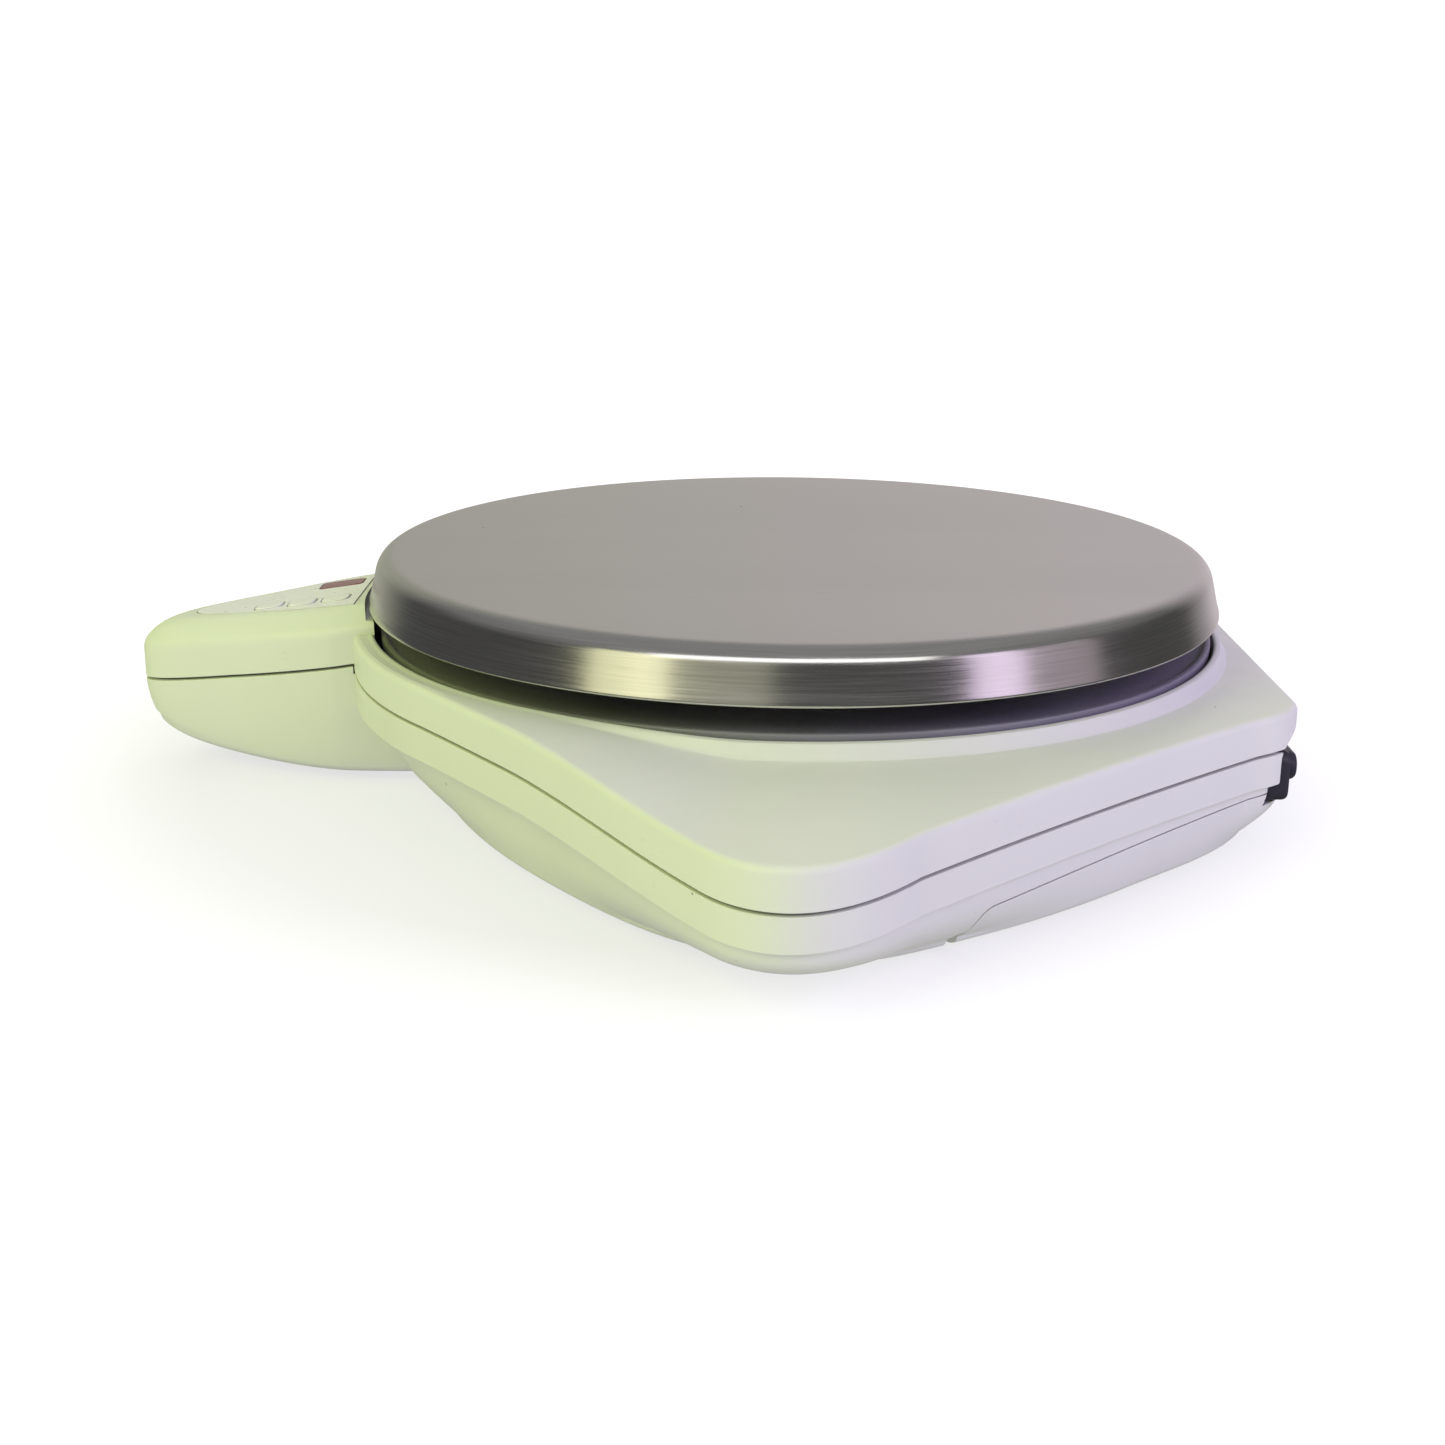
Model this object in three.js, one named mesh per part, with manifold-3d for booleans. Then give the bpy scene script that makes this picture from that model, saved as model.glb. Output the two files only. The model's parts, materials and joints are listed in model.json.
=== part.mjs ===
// Compact digital bench scale: a round stainless pan on a spider, a load cell, and a two-part housing.
// Millimetres, +Z up. The user stands at +X, with the console on their left at -Y and the flat end at +Y.
// The floor is z = 0. Everything inside `scale` is drawn around the pan's centre.

import * as THREE from 'three';
import { mergeVertices } from 'three/addons/utils/BufferGeometryUtils.js';
import Module from 'manifold-3d';

const wasm = await Module();
wasm.setup();

// ---- driving dimensions -------------------------------------------------------------------------
const PAN_R = 100; // outer radius of the pan's skirt
const PAN_TOP = 53.6;
const SKIRT_BOTTOM = 42;
const SHEET = 1; // steel sheet of the pan
const WALL = 2.3; // moulded walls
const GAP = 0.3; // clearance between touching pieces

const RING_R = 104; // body wall where it follows the pan
const RIM_R = 99.3; // inner edge of the well
const WELL_FLOOR = 27;
const WELL_OPENING_R = 38;
const FLOOR_THICKNESS = 2;

const BACK_Y = 107.5; // flat end wall
// heights round the body, [at the wings and the flat end, beside the console where the wall follows the pan]
const SEAM = [22.7, 27.6]; // between the two housings
const BAND = [15.4, 19.9]; // lower edge of the upright band
const CREASE = [31.2, 36.4]; // edge of the top face
const FOOT = [32, 36.5]; // foot of the collar round the well
const RIM = [35.4, 36.8]; // top of the collar
const HULL_Z = 1.5; // underside
const HULL_FLOOR = 4.2; // inside floor

const TONGUE_TIP = -156.3; // outer end of the console
const TONGUE_ROOT = -96.3;
const ROOT_HALF = 23.5; // half width of the console at its root
const SLOPE = Math.atan(0.147); // the console's face falls towards its tip
const FACE_AT_ROOT = 42.5;
const CREASE_AT_ROOT = 38.7;
const CREASE_FALL = 0.164; // the side crease falls a little faster than the face
const BEVEL = 6.5; // plan width of the bevel along the sides of the face
const NOSE = 8; // and at the tip
const SIDE_HEIGHT = 9.1; // from the console's crease down to its seam

const PAN_Y = (-TONGUE_TIP - BACK_Y) / 2; // centres the whole scale on the origin

const SCREWS = [[72, -46], [-72, -46], [20, 88], [-20, 88]]; // housing screws, driven from below
const FEET = [[106, -10], [-106, -10], [0, -72], [0, 86]];
const PLATE_SCREWS = [[38, 18], [-38, -18]];
const CELL_SCREWS = [-27, -19]; // along the load cell, at its fixed end
const CARRIER_SCREWS = [19, 27]; // and at its free end

// ---- materials ----------------------------------------------------------------------------------
const finish = (color, roughness, metalness = 0) => (
  new THREE.MeshStandardMaterial({ color, roughness, metalness })
);
const shellPlastic = () => finish(0xdedfd6, 0.45);
const steel = () => finish(0xb4b1ad, 0.3, 1);
const zinc = () => finish(0x8f9092, 0.4, 1);
const aluminium = () => finish(0xb8babd, 0.45, 1);
const greyPlastic = () => finish(0x6d7072, 0.55);
const darkPlastic = () => finish(0x3a3b40, 0.5);
const rubber = () => finish(0x2b2b2b, 0.9);

// ---- solids -------------------------------------------------------------------------------------
// closed geometry to a solid, with its faces turned outwards
function solid(geometry) {
  const bare = geometry.clone();
  bare.deleteAttribute('normal');
  bare.deleteAttribute('uv');
  const merged = mergeVertices(bare, 1e-4);
  const corners = Array.from(merged.index.array);
  const mesh = new wasm.Mesh({
    numProp: 3,
    vertProperties: new Float32Array(merged.attributes.position.array),
    triVerts: new Uint32Array(signedVolume(merged) < 0 ? corners.reverse() : corners),
  });
  mesh.merge();
  return new wasm.Manifold(mesh);
}

function geometryOf(manifold) {
  const mesh = manifold.getMesh();
  const geometry = new THREE.BufferGeometry();
  geometry.setAttribute('position', new THREE.BufferAttribute(new Float32Array(mesh.vertProperties), 3));
  geometry.setIndex(new THREE.BufferAttribute(new Uint32Array(mesh.triVerts), 1));
  return geometry;
}

const sum = (first, ...others) => others.reduce((all, next) => all.add(next), first);
const cut = (first, ...others) => others.reduce((left, next) => left.subtract(next), first);

// box between two corners
function block([x0, y0, z0], [x1, y1, z1]) {
  const geometry = new THREE.BoxGeometry(x1 - x0, y1 - y0, z1 - z0);
  return solid(geometry.translate((x0 + x1) / 2, (y0 + y1) / 2, (z0 + z1) / 2));
}

// upright cylinder from z0 to z1
function post(x, y, z0, z1, radius, sides = 16, topRadius = radius) {
  const geometry = new THREE.CylinderGeometry(topRadius, radius, z1 - z0, sides);
  return solid(geometry.rotateX(Math.PI / 2).translate(x, y, (z0 + z1) / 2));
}

// body of revolution about Z through [radius, height] points
function turned(points, sides = 32) {
  const profile = points.map(([r, z]) => new THREE.Vector2(r, z));
  return solid(new THREE.LatheGeometry(profile, sides).rotateX(Math.PI / 2));
}

// plan shape pulled up from z0 to z1
function plate(shape, z0, z1, curveSegments = 6) {
  const geometry = new THREE.ExtrudeGeometry(shape, { depth: z1 - z0, bevelEnabled: false, curveSegments });
  return solid(geometry.translate(0, 0, z0));
}

function roundedRect(width, height, radius, cx = 0, cy = 0) {
  const shape = new THREE.Shape();
  const x = cx - width / 2;
  const y = cy - height / 2;
  shape.moveTo(x + radius, y);
  shape.lineTo(x + width - radius, y);
  shape.absarc(x + width - radius, y + radius, radius, -Math.PI / 2, 0);
  shape.lineTo(x + width, y + height - radius);
  shape.absarc(x + width - radius, y + height - radius, radius, 0, Math.PI / 2);
  shape.lineTo(x + radius, y + height);
  shape.absarc(x + radius, y + height - radius, radius, Math.PI / 2, Math.PI);
  shape.lineTo(x, y + radius);
  shape.absarc(x + radius, y + radius, radius, Math.PI, 1.5 * Math.PI);
  return shape;
}

// skin through a stack of rings with equal point counts. A ring may be a single point, which closes an end;
// with `loop` the last ring joins the first, which makes a hollow wall that runs all the way round.
function loft(rings, loop = false) {
  const vertices = rings.flat().flatMap((p) => [p.x, p.y, p.z]);
  const starts = rings.map((_, i) => rings.slice(0, i).reduce((n, ring) => n + ring.length, 0));
  const triangles = [];
  for (let k = 0; k < rings.length - (loop ? 0 : 1); k += 1) {
    const next = (k + 1) % rings.length;
    const count = Math.max(rings[k].length, rings[next].length);
    for (let i = 0; i < count; i += 1) {
      const j = (i + 1) % count;
      const a = starts[k] + (i % rings[k].length);
      const b = starts[k] + (j % rings[k].length);
      const c = starts[next] + (j % rings[next].length);
      const d = starts[next] + (i % rings[next].length);
      if (a !== b) triangles.push(a, b, c);
      if (c !== d) triangles.push(a, c, d);
    }
  }
  const geometry = new THREE.BufferGeometry();
  geometry.setAttribute('position', new THREE.BufferAttribute(new Float32Array(vertices), 3));
  geometry.setIndex(triangles);
  return solid(geometry);
}

function signedVolume(geometry) {
  const position = geometry.attributes.position;
  const index = geometry.index.array;
  const corner = [new THREE.Vector3(), new THREE.Vector3(), new THREE.Vector3()];
  let volume = 0;
  for (let t = 0; t < index.length; t += 3) {
    corner.forEach((v, k) => v.fromBufferAttribute(position, index[t + k]));
    volume += corner[0].dot(corner[1].cross(corner[2])) / 6;
  }
  return volume;
}

const lerp = THREE.MathUtils.lerp;
const smooth = THREE.MathUtils.smoothstep;
// a plan ring at height z, which may be a function of the point and its index
const lift = (ring, z) => {
  const height = typeof z === 'function' ? z : () => z;
  return ring.map((p, i) => new THREE.Vector3(p.x, p.y, height(p, i)));
};

// ring moved inwards by `distance`, square to its own edge
function inset(ring, distance) {
  return ring.map((p, i) => {
    const before = ring[(i + ring.length - 1) % ring.length];
    const after = ring[(i + 1) % ring.length];
    const along = new THREE.Vector2(after.x - before.x, after.y - before.y).normalize();
    return new THREE.Vector2(p.x + along.y * distance, p.y - along.x * distance);
  });
}

// the right half of an outline runs from the back to the front; the left half mirrors it
function mirrored(half) {
  const left = half.slice(1, -1).reverse();
  return [...half, ...left.map((p) => new THREE.Vector2(-p.x, p.y))];
}

// ---- body outlines, all drawn clockwise seen from above -----------------------------------------
function bodyOutline() {
  const v = (x, y) => new THREE.Vector2(x, y);
  const cheek = 0.67; // where the front arc begins, measured from the console
  const corner = v(RING_R * Math.sin(cheek), -RING_R * Math.cos(cheek));
  const curves = [
    [new THREE.LineCurve(v(0, BACK_Y), v(54, BACK_Y)), 3],
    [new THREE.QuadraticBezierCurve(v(54, BACK_Y), v(62, BACK_Y), v(68.5, 96.5)), 3],
    [new THREE.CubicBezierCurve(v(68.5, 96.5), v(90.5, 70.2), v(114.8, 44.3), v(140, 19)), 7],
    [new THREE.QuadraticBezierCurve(v(140, 19), v(171.5, -4), v(146, -21.5)), 7],
    [new THREE.CubicBezierCurve(v(146, -21.5), v(128, -35.3), v(74.5, -73.5), corner), 6],
    [new THREE.EllipseCurve(0, 0, RING_R, RING_R, cheek - Math.PI / 2, -Math.PI / 2, true), 7],
  ];
  const half = curves.flatMap(([curve, n], k) => curve.getPoints(n).slice(k === 0 ? 0 : 1));
  half[half.length - 1].x = 0;
  return mirrored(half);
}

// underside: a rounder, smaller outline, taken along the same directions as the body outline
function hullOutline(body) {
  const right = [[55, 98], [90, 67], [116, 34], [130, 5], [122, -22], [87.5, -54], [49, -75.5]];
  const left = right.map(([x, y]) => [-x, y]).reverse();
  const points = [[0, 101.5], ...right, [0, -87], ...left];
  const curve = new THREE.CatmullRomCurve3(points.map(([x, y]) => new THREE.Vector3(x, y, 0)), true);
  const fine = curve.getPoints(900).map((q) => new THREE.Vector2(q.x, q.y));
  const offLine = (q, p) => (q.dot(p) > 0 ? Math.abs(q.cross(p)) / q.length() : Infinity);
  return body.map((p) => {
    const nearest = fine.reduce((best, q) => (offLine(q, p) < offLine(best, p) ? q : best));
    return p.clone().setLength(nearest.length());
  });
}

const BODY = bodyOutline();
const HULL = hullOutline(BODY);
const circle = (radius) => BODY.map((p) => new THREE.Vector2(p.x, p.y).setLength(radius));
const between = (a, b, t) => a.map((p, i) => new THREE.Vector2(lerp(p.x, b[i].x, t), lerp(p.y, b[i].y, t)));

// height at outline point i from a [side and back, front] pair, moved by dz
const frontness = (p) => 1 - smooth(p.y, -60, -15);
const high = (pair, dz = 0) => (p, i) => lerp(pair[0], pair[1], frontness(BODY[i])) + dz;

// ---- console outline and its sloping heights ----------------------------------------------------
function tongueOutline() {
  const v = (x, y) => new THREE.Vector2(x, y);
  const curves = [
    [new THREE.LineCurve(v(0, TONGUE_ROOT), v(ROOT_HALF, TONGUE_ROOT)), 3],
    [new THREE.LineCurve(v(ROOT_HALF, TONGUE_ROOT), v(23.2, -106)), 2],
    [new THREE.CubicBezierCurve(v(23.2, -106), v(22.3, -113), v(19.2, -123), v(16, -131)), 4],
    [new THREE.CubicBezierCurve(v(16, -131), v(11.5, -143.5), v(7, TONGUE_TIP), v(0, TONGUE_TIP)), 7],
  ];
  const half = curves.flatMap(([curve, n], k) => curve.getPoints(n).slice(k === 0 ? 0 : 1));
  return mirrored(half);
}

const TONGUE = tongueOutline();
const tongueCrease = (y) => CREASE_AT_ROOT + (y + 100) * CREASE_FALL;
const tongueSeam = (y) => tongueCrease(y) - SIDE_HEIGHT;
const tongueFace = (y) => FACE_AT_ROOT + (y + 100) * Math.tan(SLOPE);

// the tongue's outline drawn in by `distance` at its sides and `nose` at its tip,
// with its root edge moved along Y by `rootShift`
function drawnIn(distance, rootShift = 0, nose = distance) {
  const narrower = 1 - distance / ROOT_HALF;
  const shorter = 1 - nose / (TONGUE_ROOT - TONGUE_TIP);
  return TONGUE.map((p) => {
    const root = TONGUE_ROOT + rootShift;
    const y = TONGUE_ROOT + (p.y - TONGUE_ROOT) * shorter;
    const atRoot = p.y > TONGUE_ROOT - 0.1;
    return new THREE.Vector2(p.x * narrower, atRoot ? root : Math.min(y, root - 0.4));
  });
}

const middle = (y, z) => [new THREE.Vector3(0, y, z)];

// lower edge of the console: a bow that rises slowly, then turns up at the tip
function keelZ(p) {
  const t = THREE.MathUtils.clamp((p.y + 100) / (TONGUE_TIP + 100), 0, 1);
  return 2 + 6.8 * t ** 2 + 3 * t ** 8;
}

// ---- housings -----------------------------------------------------------------------------------
function topHousing() {
  const inner = inset(BODY, WALL);
  const collar = circle(RIM_R + 3.1);
  const wall = loft([
    lift(circle(WELL_OPENING_R), WELL_FLOOR),
    lift(circle(RIM_R - 1), WELL_FLOOR),
    lift(circle(RIM_R), high(RIM, -0.3)),
    lift(circle(RIM_R + 0.5), high(RIM)),
    lift(circle(RIM_R + 1.5), high(RIM, -0.2)),
    lift(collar, high(FOOT)),
    lift(inset(BODY, 0.6), high(CREASE)),
    lift(BODY, high(CREASE, -0.7)),
    lift(BODY, high(SEAM, GAP)),
    lift(inner, high(SEAM, GAP)),
    lift(inner, high(CREASE, -0.6 - WALL)),
    lift(circle(RIM_R + 2.2), high(FOOT, -0.6 - WALL)),
    lift(circle(RIM_R + 0.9), WELL_FLOOR - FLOOR_THICKNESS),
    lift(circle(WELL_OPENING_R), WELL_FLOOR - FLOOR_THICKNESS),
  ], true);
  const bosses = SCREWS.map(([x, y]) => post(x, y, 12.4, WELL_FLOOR - 1, 4, 12));
  const bores = SCREWS.map(([x, y]) => post(x, y, 12, 21, 1.8, 10));
  const shell = cut(sum(wall, consoleTop(), ...bosses), ...bores, consoleTopHollow(), socketArch());
  return cut(sum(shell, ...boardPosts()), overlayPocket(), ...faceOpenings());
}

function consoleTop() {
  const body = loft([
    middle(-118, tongueSeam(-118) + GAP),
    lift(TONGUE, (p) => tongueSeam(p.y) + GAP),
    lift(TONGUE, (p) => tongueCrease(p.y) - 0.5),
    lift(drawnIn(0.5), (p) => tongueCrease(p.y)),
    lift(drawnIn(3.2, 0, 2.7), (p) => lerp(tongueCrease(p.y), tongueFace(p.y), 0.5)),
    lift(drawnIn(BEVEL, 0, NOSE), (p) => tongueFace(p.y)),
    middle(-118, tongueFace(-118)),
  ]);
  return cut(body, ...aroundPan());
}

// what the console leaves free: the well, and above it the pan's skirt
const aroundPan = () => [
  post(0, 0, WELL_FLOOR - 1, RIM[1], RIM_R - 0.6, 64, RIM_R - 0.1),
  post(0, 0, RIM[1] - 0.1, 39.6, RIM_R - 0.1, 64),
  post(0, 0, 39.5, 60, PAN_R + 0.9, 64),
];

// room inside the console, kept clear of the wall that faces the pan
function consoleTopHollow() {
  const shift = -5.3;
  const room = loft([
    middle(-118, tongueSeam(-118) - 1),
    lift(drawnIn(WALL, shift), (p) => tongueSeam(p.y) - 1),
    lift(drawnIn(WALL, shift), (p) => tongueCrease(p.y) - 1.8),
    lift(drawnIn(BEVEL + 1, shift, NOSE + 2), (p) => tongueFace(p.y) - WALL),
    middle(-118, tongueFace(-118) - WALL),
  ]);
  return room.subtract(post(0, 0, RIM[1] - WALL, 60, RING_R - 1, 64));
}

function bowl() {
  const inner = inset(BODY, WALL);
  // the wall below the band stands almost flush at the wings and well back beside the console
  const flush = inset(BODY, 1.6);
  const setBack = inset(BODY, 5.5);
  const underBand = BODY.map((p, i) => flush[i].clone().lerp(setBack[i], frontness(p)));
  return loft([
    middle(0, HULL_Z),
    lift(inset(HULL, 1.2), HULL_Z),
    lift(HULL, HULL_Z + 1.4),
    lift(between(HULL, underBand, 0.45), 5.4),
    lift(between(HULL, underBand, 0.8), high(BAND, -6)),
    lift(underBand, high(BAND, -0.3)),
    lift(inset(BODY, 0.1), high(BAND)),
    lift(BODY, high(SEAM, -GAP)),
    lift(inner, high(SEAM, -GAP)),
    lift(inset(underBand, WALL), high(BAND, -0.8)),
    lift(inset(between(HULL, underBand, 0.75), WALL), high(BAND, -6)),
    lift(inset(HULL, 3.4), HULL_FLOOR),
    middle(0, HULL_FLOOR),
  ]);
}

function bottomHousing() {
  const bosses = SCREWS.map(([x, y]) => post(x, y, HULL_FLOOR - 1, 12, 5.4, 12));
  const underWell = post(0, 0, WELL_FLOOR - FLOOR_THICKNESS - GAP, 60, RIM_R + 1.3, 64);
  const shell = cut(sum(bowl(), keel(), ...bosses), keelHollow(), underWell);
  const screwHoles = SCREWS.flatMap(([x, y]) => [post(x, y, 1, 8, 3.7, 12), post(x, y, 7, 13, 1.8, 10)]);
  const pockets = FEET.map(([x, y]) => post(x, y, 1, 2.5, 9.3, 20));
  const plateHoles = PLATE_SCREWS.map(([x, y]) => post(x, y, 2.4, 5, 1.9, 10));
  return cut(shell, ...screwHoles, ...pockets, ...plateHoles, socketArch(), doorBlank(0), fingerNotch());
}

function keel() {
  const reach = 8.1; // the keel runs on under the body to the hull
  const shape = loft([
    middle(-118, keelZ({ y: -118 })),
    lift(drawnIn(4.5, reach, 3), keelZ),
    lift(drawnIn(2.4, reach, 2.1), (p) => keelZ(p) + 1.6),
    lift(drawnIn(0.3, reach), (p) => lerp(keelZ(p), tongueSeam(p.y), 0.55)),
    lift(drawnIn(0, reach), (p) => tongueSeam(p.y) - GAP),
    middle(-118, tongueSeam(-118) - GAP),
  ]);
  return cut(shape, post(0, 0, SEAM[1] - GAP, 60, RING_R + GAP, 64));
}

function keelHollow() {
  const reach = 14.1;
  return loft([
    middle(-118, keelZ({ y: -118 }) + WALL),
    lift(drawnIn(6.8, reach, 6), (p) => keelZ(p) + WALL),
    lift(drawnIn(3, reach), (p) => lerp(keelZ(p), tongueSeam(p.y), 0.5)),
    lift(drawnIn(WALL, reach), (p) => tongueSeam(p.y) + 1),
    middle(-118, tongueSeam(-118) + 1),
  ]);
}

// ---- battery bay, square to the right-hand rear side --------------------------------------------
const BAY_ANGLE = 42.8; // degrees from +X to the side wall's outward direction
const DOOR_FROM = -61; // the door's ends along the side wall
const DOOR_TO = 33.5;
const DOOR_INNER = 53; // its inner edge, measured outwards from the pan's centre
const DOOR_TOP = [10.3, 13.5]; // its upper edge, at DOOR_FROM and at DOOR_TO
const CELL_R = 7.1;
const CELL_PITCH = 14.7;
const CELL_COUNT = 4;
const CELL_START = -25.9;
const CELL_INNER = 54.3; // a cell's flat end
const CELL_LENGTH = 50.5;
const CELL_Z = 12.3;

// in the bay, x points out of the side wall and y runs along it towards the back
const inBay = (manifold) => manifold.rotate([0, 0, BAY_ANGLE]);
const bayPoint = (x, y, z) => new THREE.Vector3(x, y, z).applyAxisAngle(
  new THREE.Vector3(0, 0, 1),
  THREE.MathUtils.degToRad(BAY_ANGLE),
);

// a plan outline standing on edge, pulled along +X from x0 to x1; its own x becomes Y
function alongX(shape, x0, x1) {
  const options = { depth: x1 - x0, bevelEnabled: false, curveSegments: 5 };
  const geometry = new THREE.ExtrudeGeometry(shape, options);
  return solid(geometry.rotateX(Math.PI / 2).rotateZ(Math.PI / 2).translate(x0, 0, 0));
}

// what the door takes out of the lower housing; `slack` shrinks it to the door itself
function doorBlank(slack) {
  const [from, to] = [DOOR_FROM + slack, DOOR_TO - slack];
  const [low, top] = DOOR_TOP.map((z) => z - slack);
  const outline = new THREE.Shape();
  outline.moveTo(from, -15);
  outline.lineTo(to, -15);
  outline.lineTo(to, top - 2);
  outline.quadraticCurveTo(to, top, to - 2, top);
  outline.lineTo(from + 4, low + 0.2);
  outline.quadraticCurveTo(from, low, from, low - 4);
  return inBay(alongX(outline, DOOR_INNER + slack, 150));
}

// finger notch at the front lower corner of the door
const fingerNotch = () => inBay(block([100, DOOR_FROM - 2.2, 0], [130, DOOR_FROM + 1, 5]));

const batteryDoor = () => bowl().intersect(doorBlank(0.3)).subtract(socketArch());

function batteryTray() {
  const ends = [CELL_START - 10.1, CELL_START + CELL_PITCH * (CELL_COUNT - 1) + 10.4];
  const outer = block([50.2, ends[0], 4.6], [107.8, ends[1], 21.2]);
  const room = block([51.7, ends[0] + 1.5, 4], [106.4, ends[1] - 1.5, 19.7]);
  const doorWay = block([102, ends[0] - 1, 4], [109, ends[1] + 1, DOOR_TOP[1] + 1]);
  return inBay(cut(outer, room, doorWay));
}

// AA cell lying along the bay's x, with its raised end outwards or inwards
function batteryCell(index) {
  const can = [[0, 0], [CELL_R - 0.4, 0], [CELL_R, 0.4], [CELL_R, 49], [CELL_R - 0.4, 49.4]];
  const button = [[2.7, 49.4], [2.5, CELL_LENGTH], [0, CELL_LENGTH]];
  const cell = turned([...can, ...button], 18).rotate([0, 90, 0]).translate([-CELL_LENGTH / 2, 0, 0]);
  const turnedRound = index % 2 === 0 ? cell : cell.rotate([0, 0, 180]);
  const y = CELL_START + CELL_PITCH * index;
  return inBay(turnedRound.translate([CELL_INNER + CELL_LENGTH / 2, y, CELL_Z]));
}

// contact strip: a thin board with a button or spring seat for each cell
function contactStrip(outward) {
  const from = CELL_START - 7.5;
  const to = CELL_START + CELL_PITCH * (CELL_COUNT - 1) + 7.5;
  const x = outward ? 105.4 : 52.2;
  const strip = block([x, from, CELL_Z - 3.5], [x + 0.8, to, CELL_Z + 6]);
  const tab = block([x, from + 6, CELL_Z - 6], [x + 0.8, from + 9, CELL_Z]);
  return inBay(outward ? strip : strip.add(tab));
}

// ---- rear socket --------------------------------------------------------------------------------
const SOCKET_X = 54;
const SOCKET_Z = 16.2;
const SOCKET_BORE = 3.2;

// a plan outline standing on edge, pulled along Y from y0 to y1
function alongY(shape, y0, y1) {
  const options = { depth: y1 - y0, bevelEnabled: false, curveSegments: 7 };
  const geometry = new THREE.ExtrudeGeometry(shape, options);
  return solid(geometry.rotateX(Math.PI / 2).translate(0, y1, 0));
}

// arch-topped opening through the back wall, across the seam of the housings
function socketArch() {
  const shape = new THREE.Shape();
  shape.moveTo(SOCKET_X - 10, 10.5);
  shape.lineTo(SOCKET_X + 10, 10.5);
  shape.lineTo(SOCKET_X + 10, 20.5);
  shape.absellipse(SOCKET_X, 20.5, 10, 6.5, 0, Math.PI, false);
  return alongY(shape, 92, 125);
}

function dcSocket() {
  const body = block([SOCKET_X - 7, 94.6, 11.5], [SOCKET_X + 7, 99.4, 21]);
  const bore = new THREE.CylinderGeometry(SOCKET_BORE, SOCKET_BORE, 8, 20);
  return body.subtract(solid(bore.translate(SOCKET_X, 99.3, SOCKET_Z)));
}

function socketCover() {
  const cover = alongY(roundedRect(19, 11, 2.4, SOCKET_X, 16.6), 99.9, 105);
  const grip = alongY(roundedRect(12, 6.4, 3, SOCKET_X, 17.6), 104.5, BACK_Y);
  return cover.add(grip);
}

// ---- pan, carrier and load cell -----------------------------------------------------------------
const CARRIER_SHIFT = 0.5; // the carrier sits a little towards the back of its well
const PAD_REACH = 49.5;

function pan() {
  return turned([
    [0, PAN_TOP], [93.6, PAN_TOP], [95.5, 53.3], [97, 52.4], [97.9, 51.1], [98.4, 49.4], [98.9, 46.8],
    [99.7, 43.8], [PAN_R, 42.5], [99.7, SKIRT_BOTTOM], [99.1, 42.2], [98.7, 43.8], [97.9, 46.8],
    [97.4, 49.4], [96.9, 50.7], [95, 52.4], [93.4, PAN_TOP - SHEET], [0, PAN_TOP - SHEET],
  ], 64);
}

function carrier() {
  const disc = turned([
    [0, 32.8], [96.4, 32.8], [98, 33.6], [98, 36.2], [96.8, 36.4], [95.6, 35.3], [0, 35.3],
  ], 56).translate([0, CARRIER_SHIFT, 0]);
  const boss = block([11, -10, 24.3], [35, 10, 34]);
  const ribs = [45, -45].map((turn) => block([-66, -1.4, 33], [66, 1.4, 45]).rotate([0, 0, turn]));
  const posts = padPlaces().map(([x, y]) => post(x, y, 33, 49.8, 6.5, 16));
  const hub = post(0, 0, 33, 46, 9, 20);
  const headRooms = CARRIER_SCREWS.map((x) => post(x, 0, 31, 47, 3.5, 12));
  const holes = CARRIER_SCREWS.map((x) => post(x, 0, 24, 32, 1.9, 10));
  return cut(sum(disc, boss, hub, ...ribs, ...posts), ...headRooms, ...holes);
}

const padPlaces = () => [[1, 1], [-1, 1], [-1, -1], [1, -1]].map(([x, y]) => [x * PAD_REACH, y * PAD_REACH]);

function loadCell() {
  const body = block([-32, -8, 9.3], [32, 8, 21.3]);
  const eye = (x) => solid(new THREE.CylinderGeometry(4.2, 4.2, 18, 24).translate(x, 0, 15.3));
  const slot = block([-8, -9, 14.4], [8, 9, 16.2]);
  const taps = CELL_SCREWS.map((x) => post(x, 0, 9, 17, 1.9, 10));
  return cut(body, eye(-8), eye(8), slot, ...taps);
}

function basePlate() {
  const body = plate(roundedRect(84, 44, 6), 4.5, 7.5);
  const headRooms = CELL_SCREWS.map((x) => post(x, 0, 4, 6.7, 3.3, 14));
  const holes = CELL_SCREWS.map((x) => post(x, 0, 4, 8, 1.9, 10));
  const corners = PLATE_SCREWS.map(([x, y]) => post(x, y, 4, 8, 1.9, 10));
  return cut(body, ...headRooms, ...holes, ...corners, post(27, 0, 4, 8, 2.3, 12));
}

// shim at one end of the load cell, between two corners, with its screw holes
const spacer = (low, high, holes) => cut(
  block(low, high),
  ...holes.map((x) => post(x, 0, low[2] - 1, high[2] + 1, 1.9, 10)),
);

// ---- fasteners and feet -------------------------------------------------------------------------
// a screw whose head lies between `head` and `under`, with its shank running on to `end`
function screw(x, y, head, under, end, headR = 3, shankR = 1.5) {
  const crown = [[0, head], [headR - 0.3, head], [headR, lerp(head, under, 0.3)], [headR, under]];
  return turned([...crown, [shankR, under], [shankR, end], [0, end]], 12).translate([x, y, 0]);
}

function foot(x, y) {
  return turned([[0, 0], [7.6, 0], [8.6, 0.8], [8.9, 2.2], [0, 2.2]], 20).translate([x, y, 0]);
}

// ---- console electronics, in a frame that lies on the console's face ----------------------------
const FACE_Y = -120;
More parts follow.
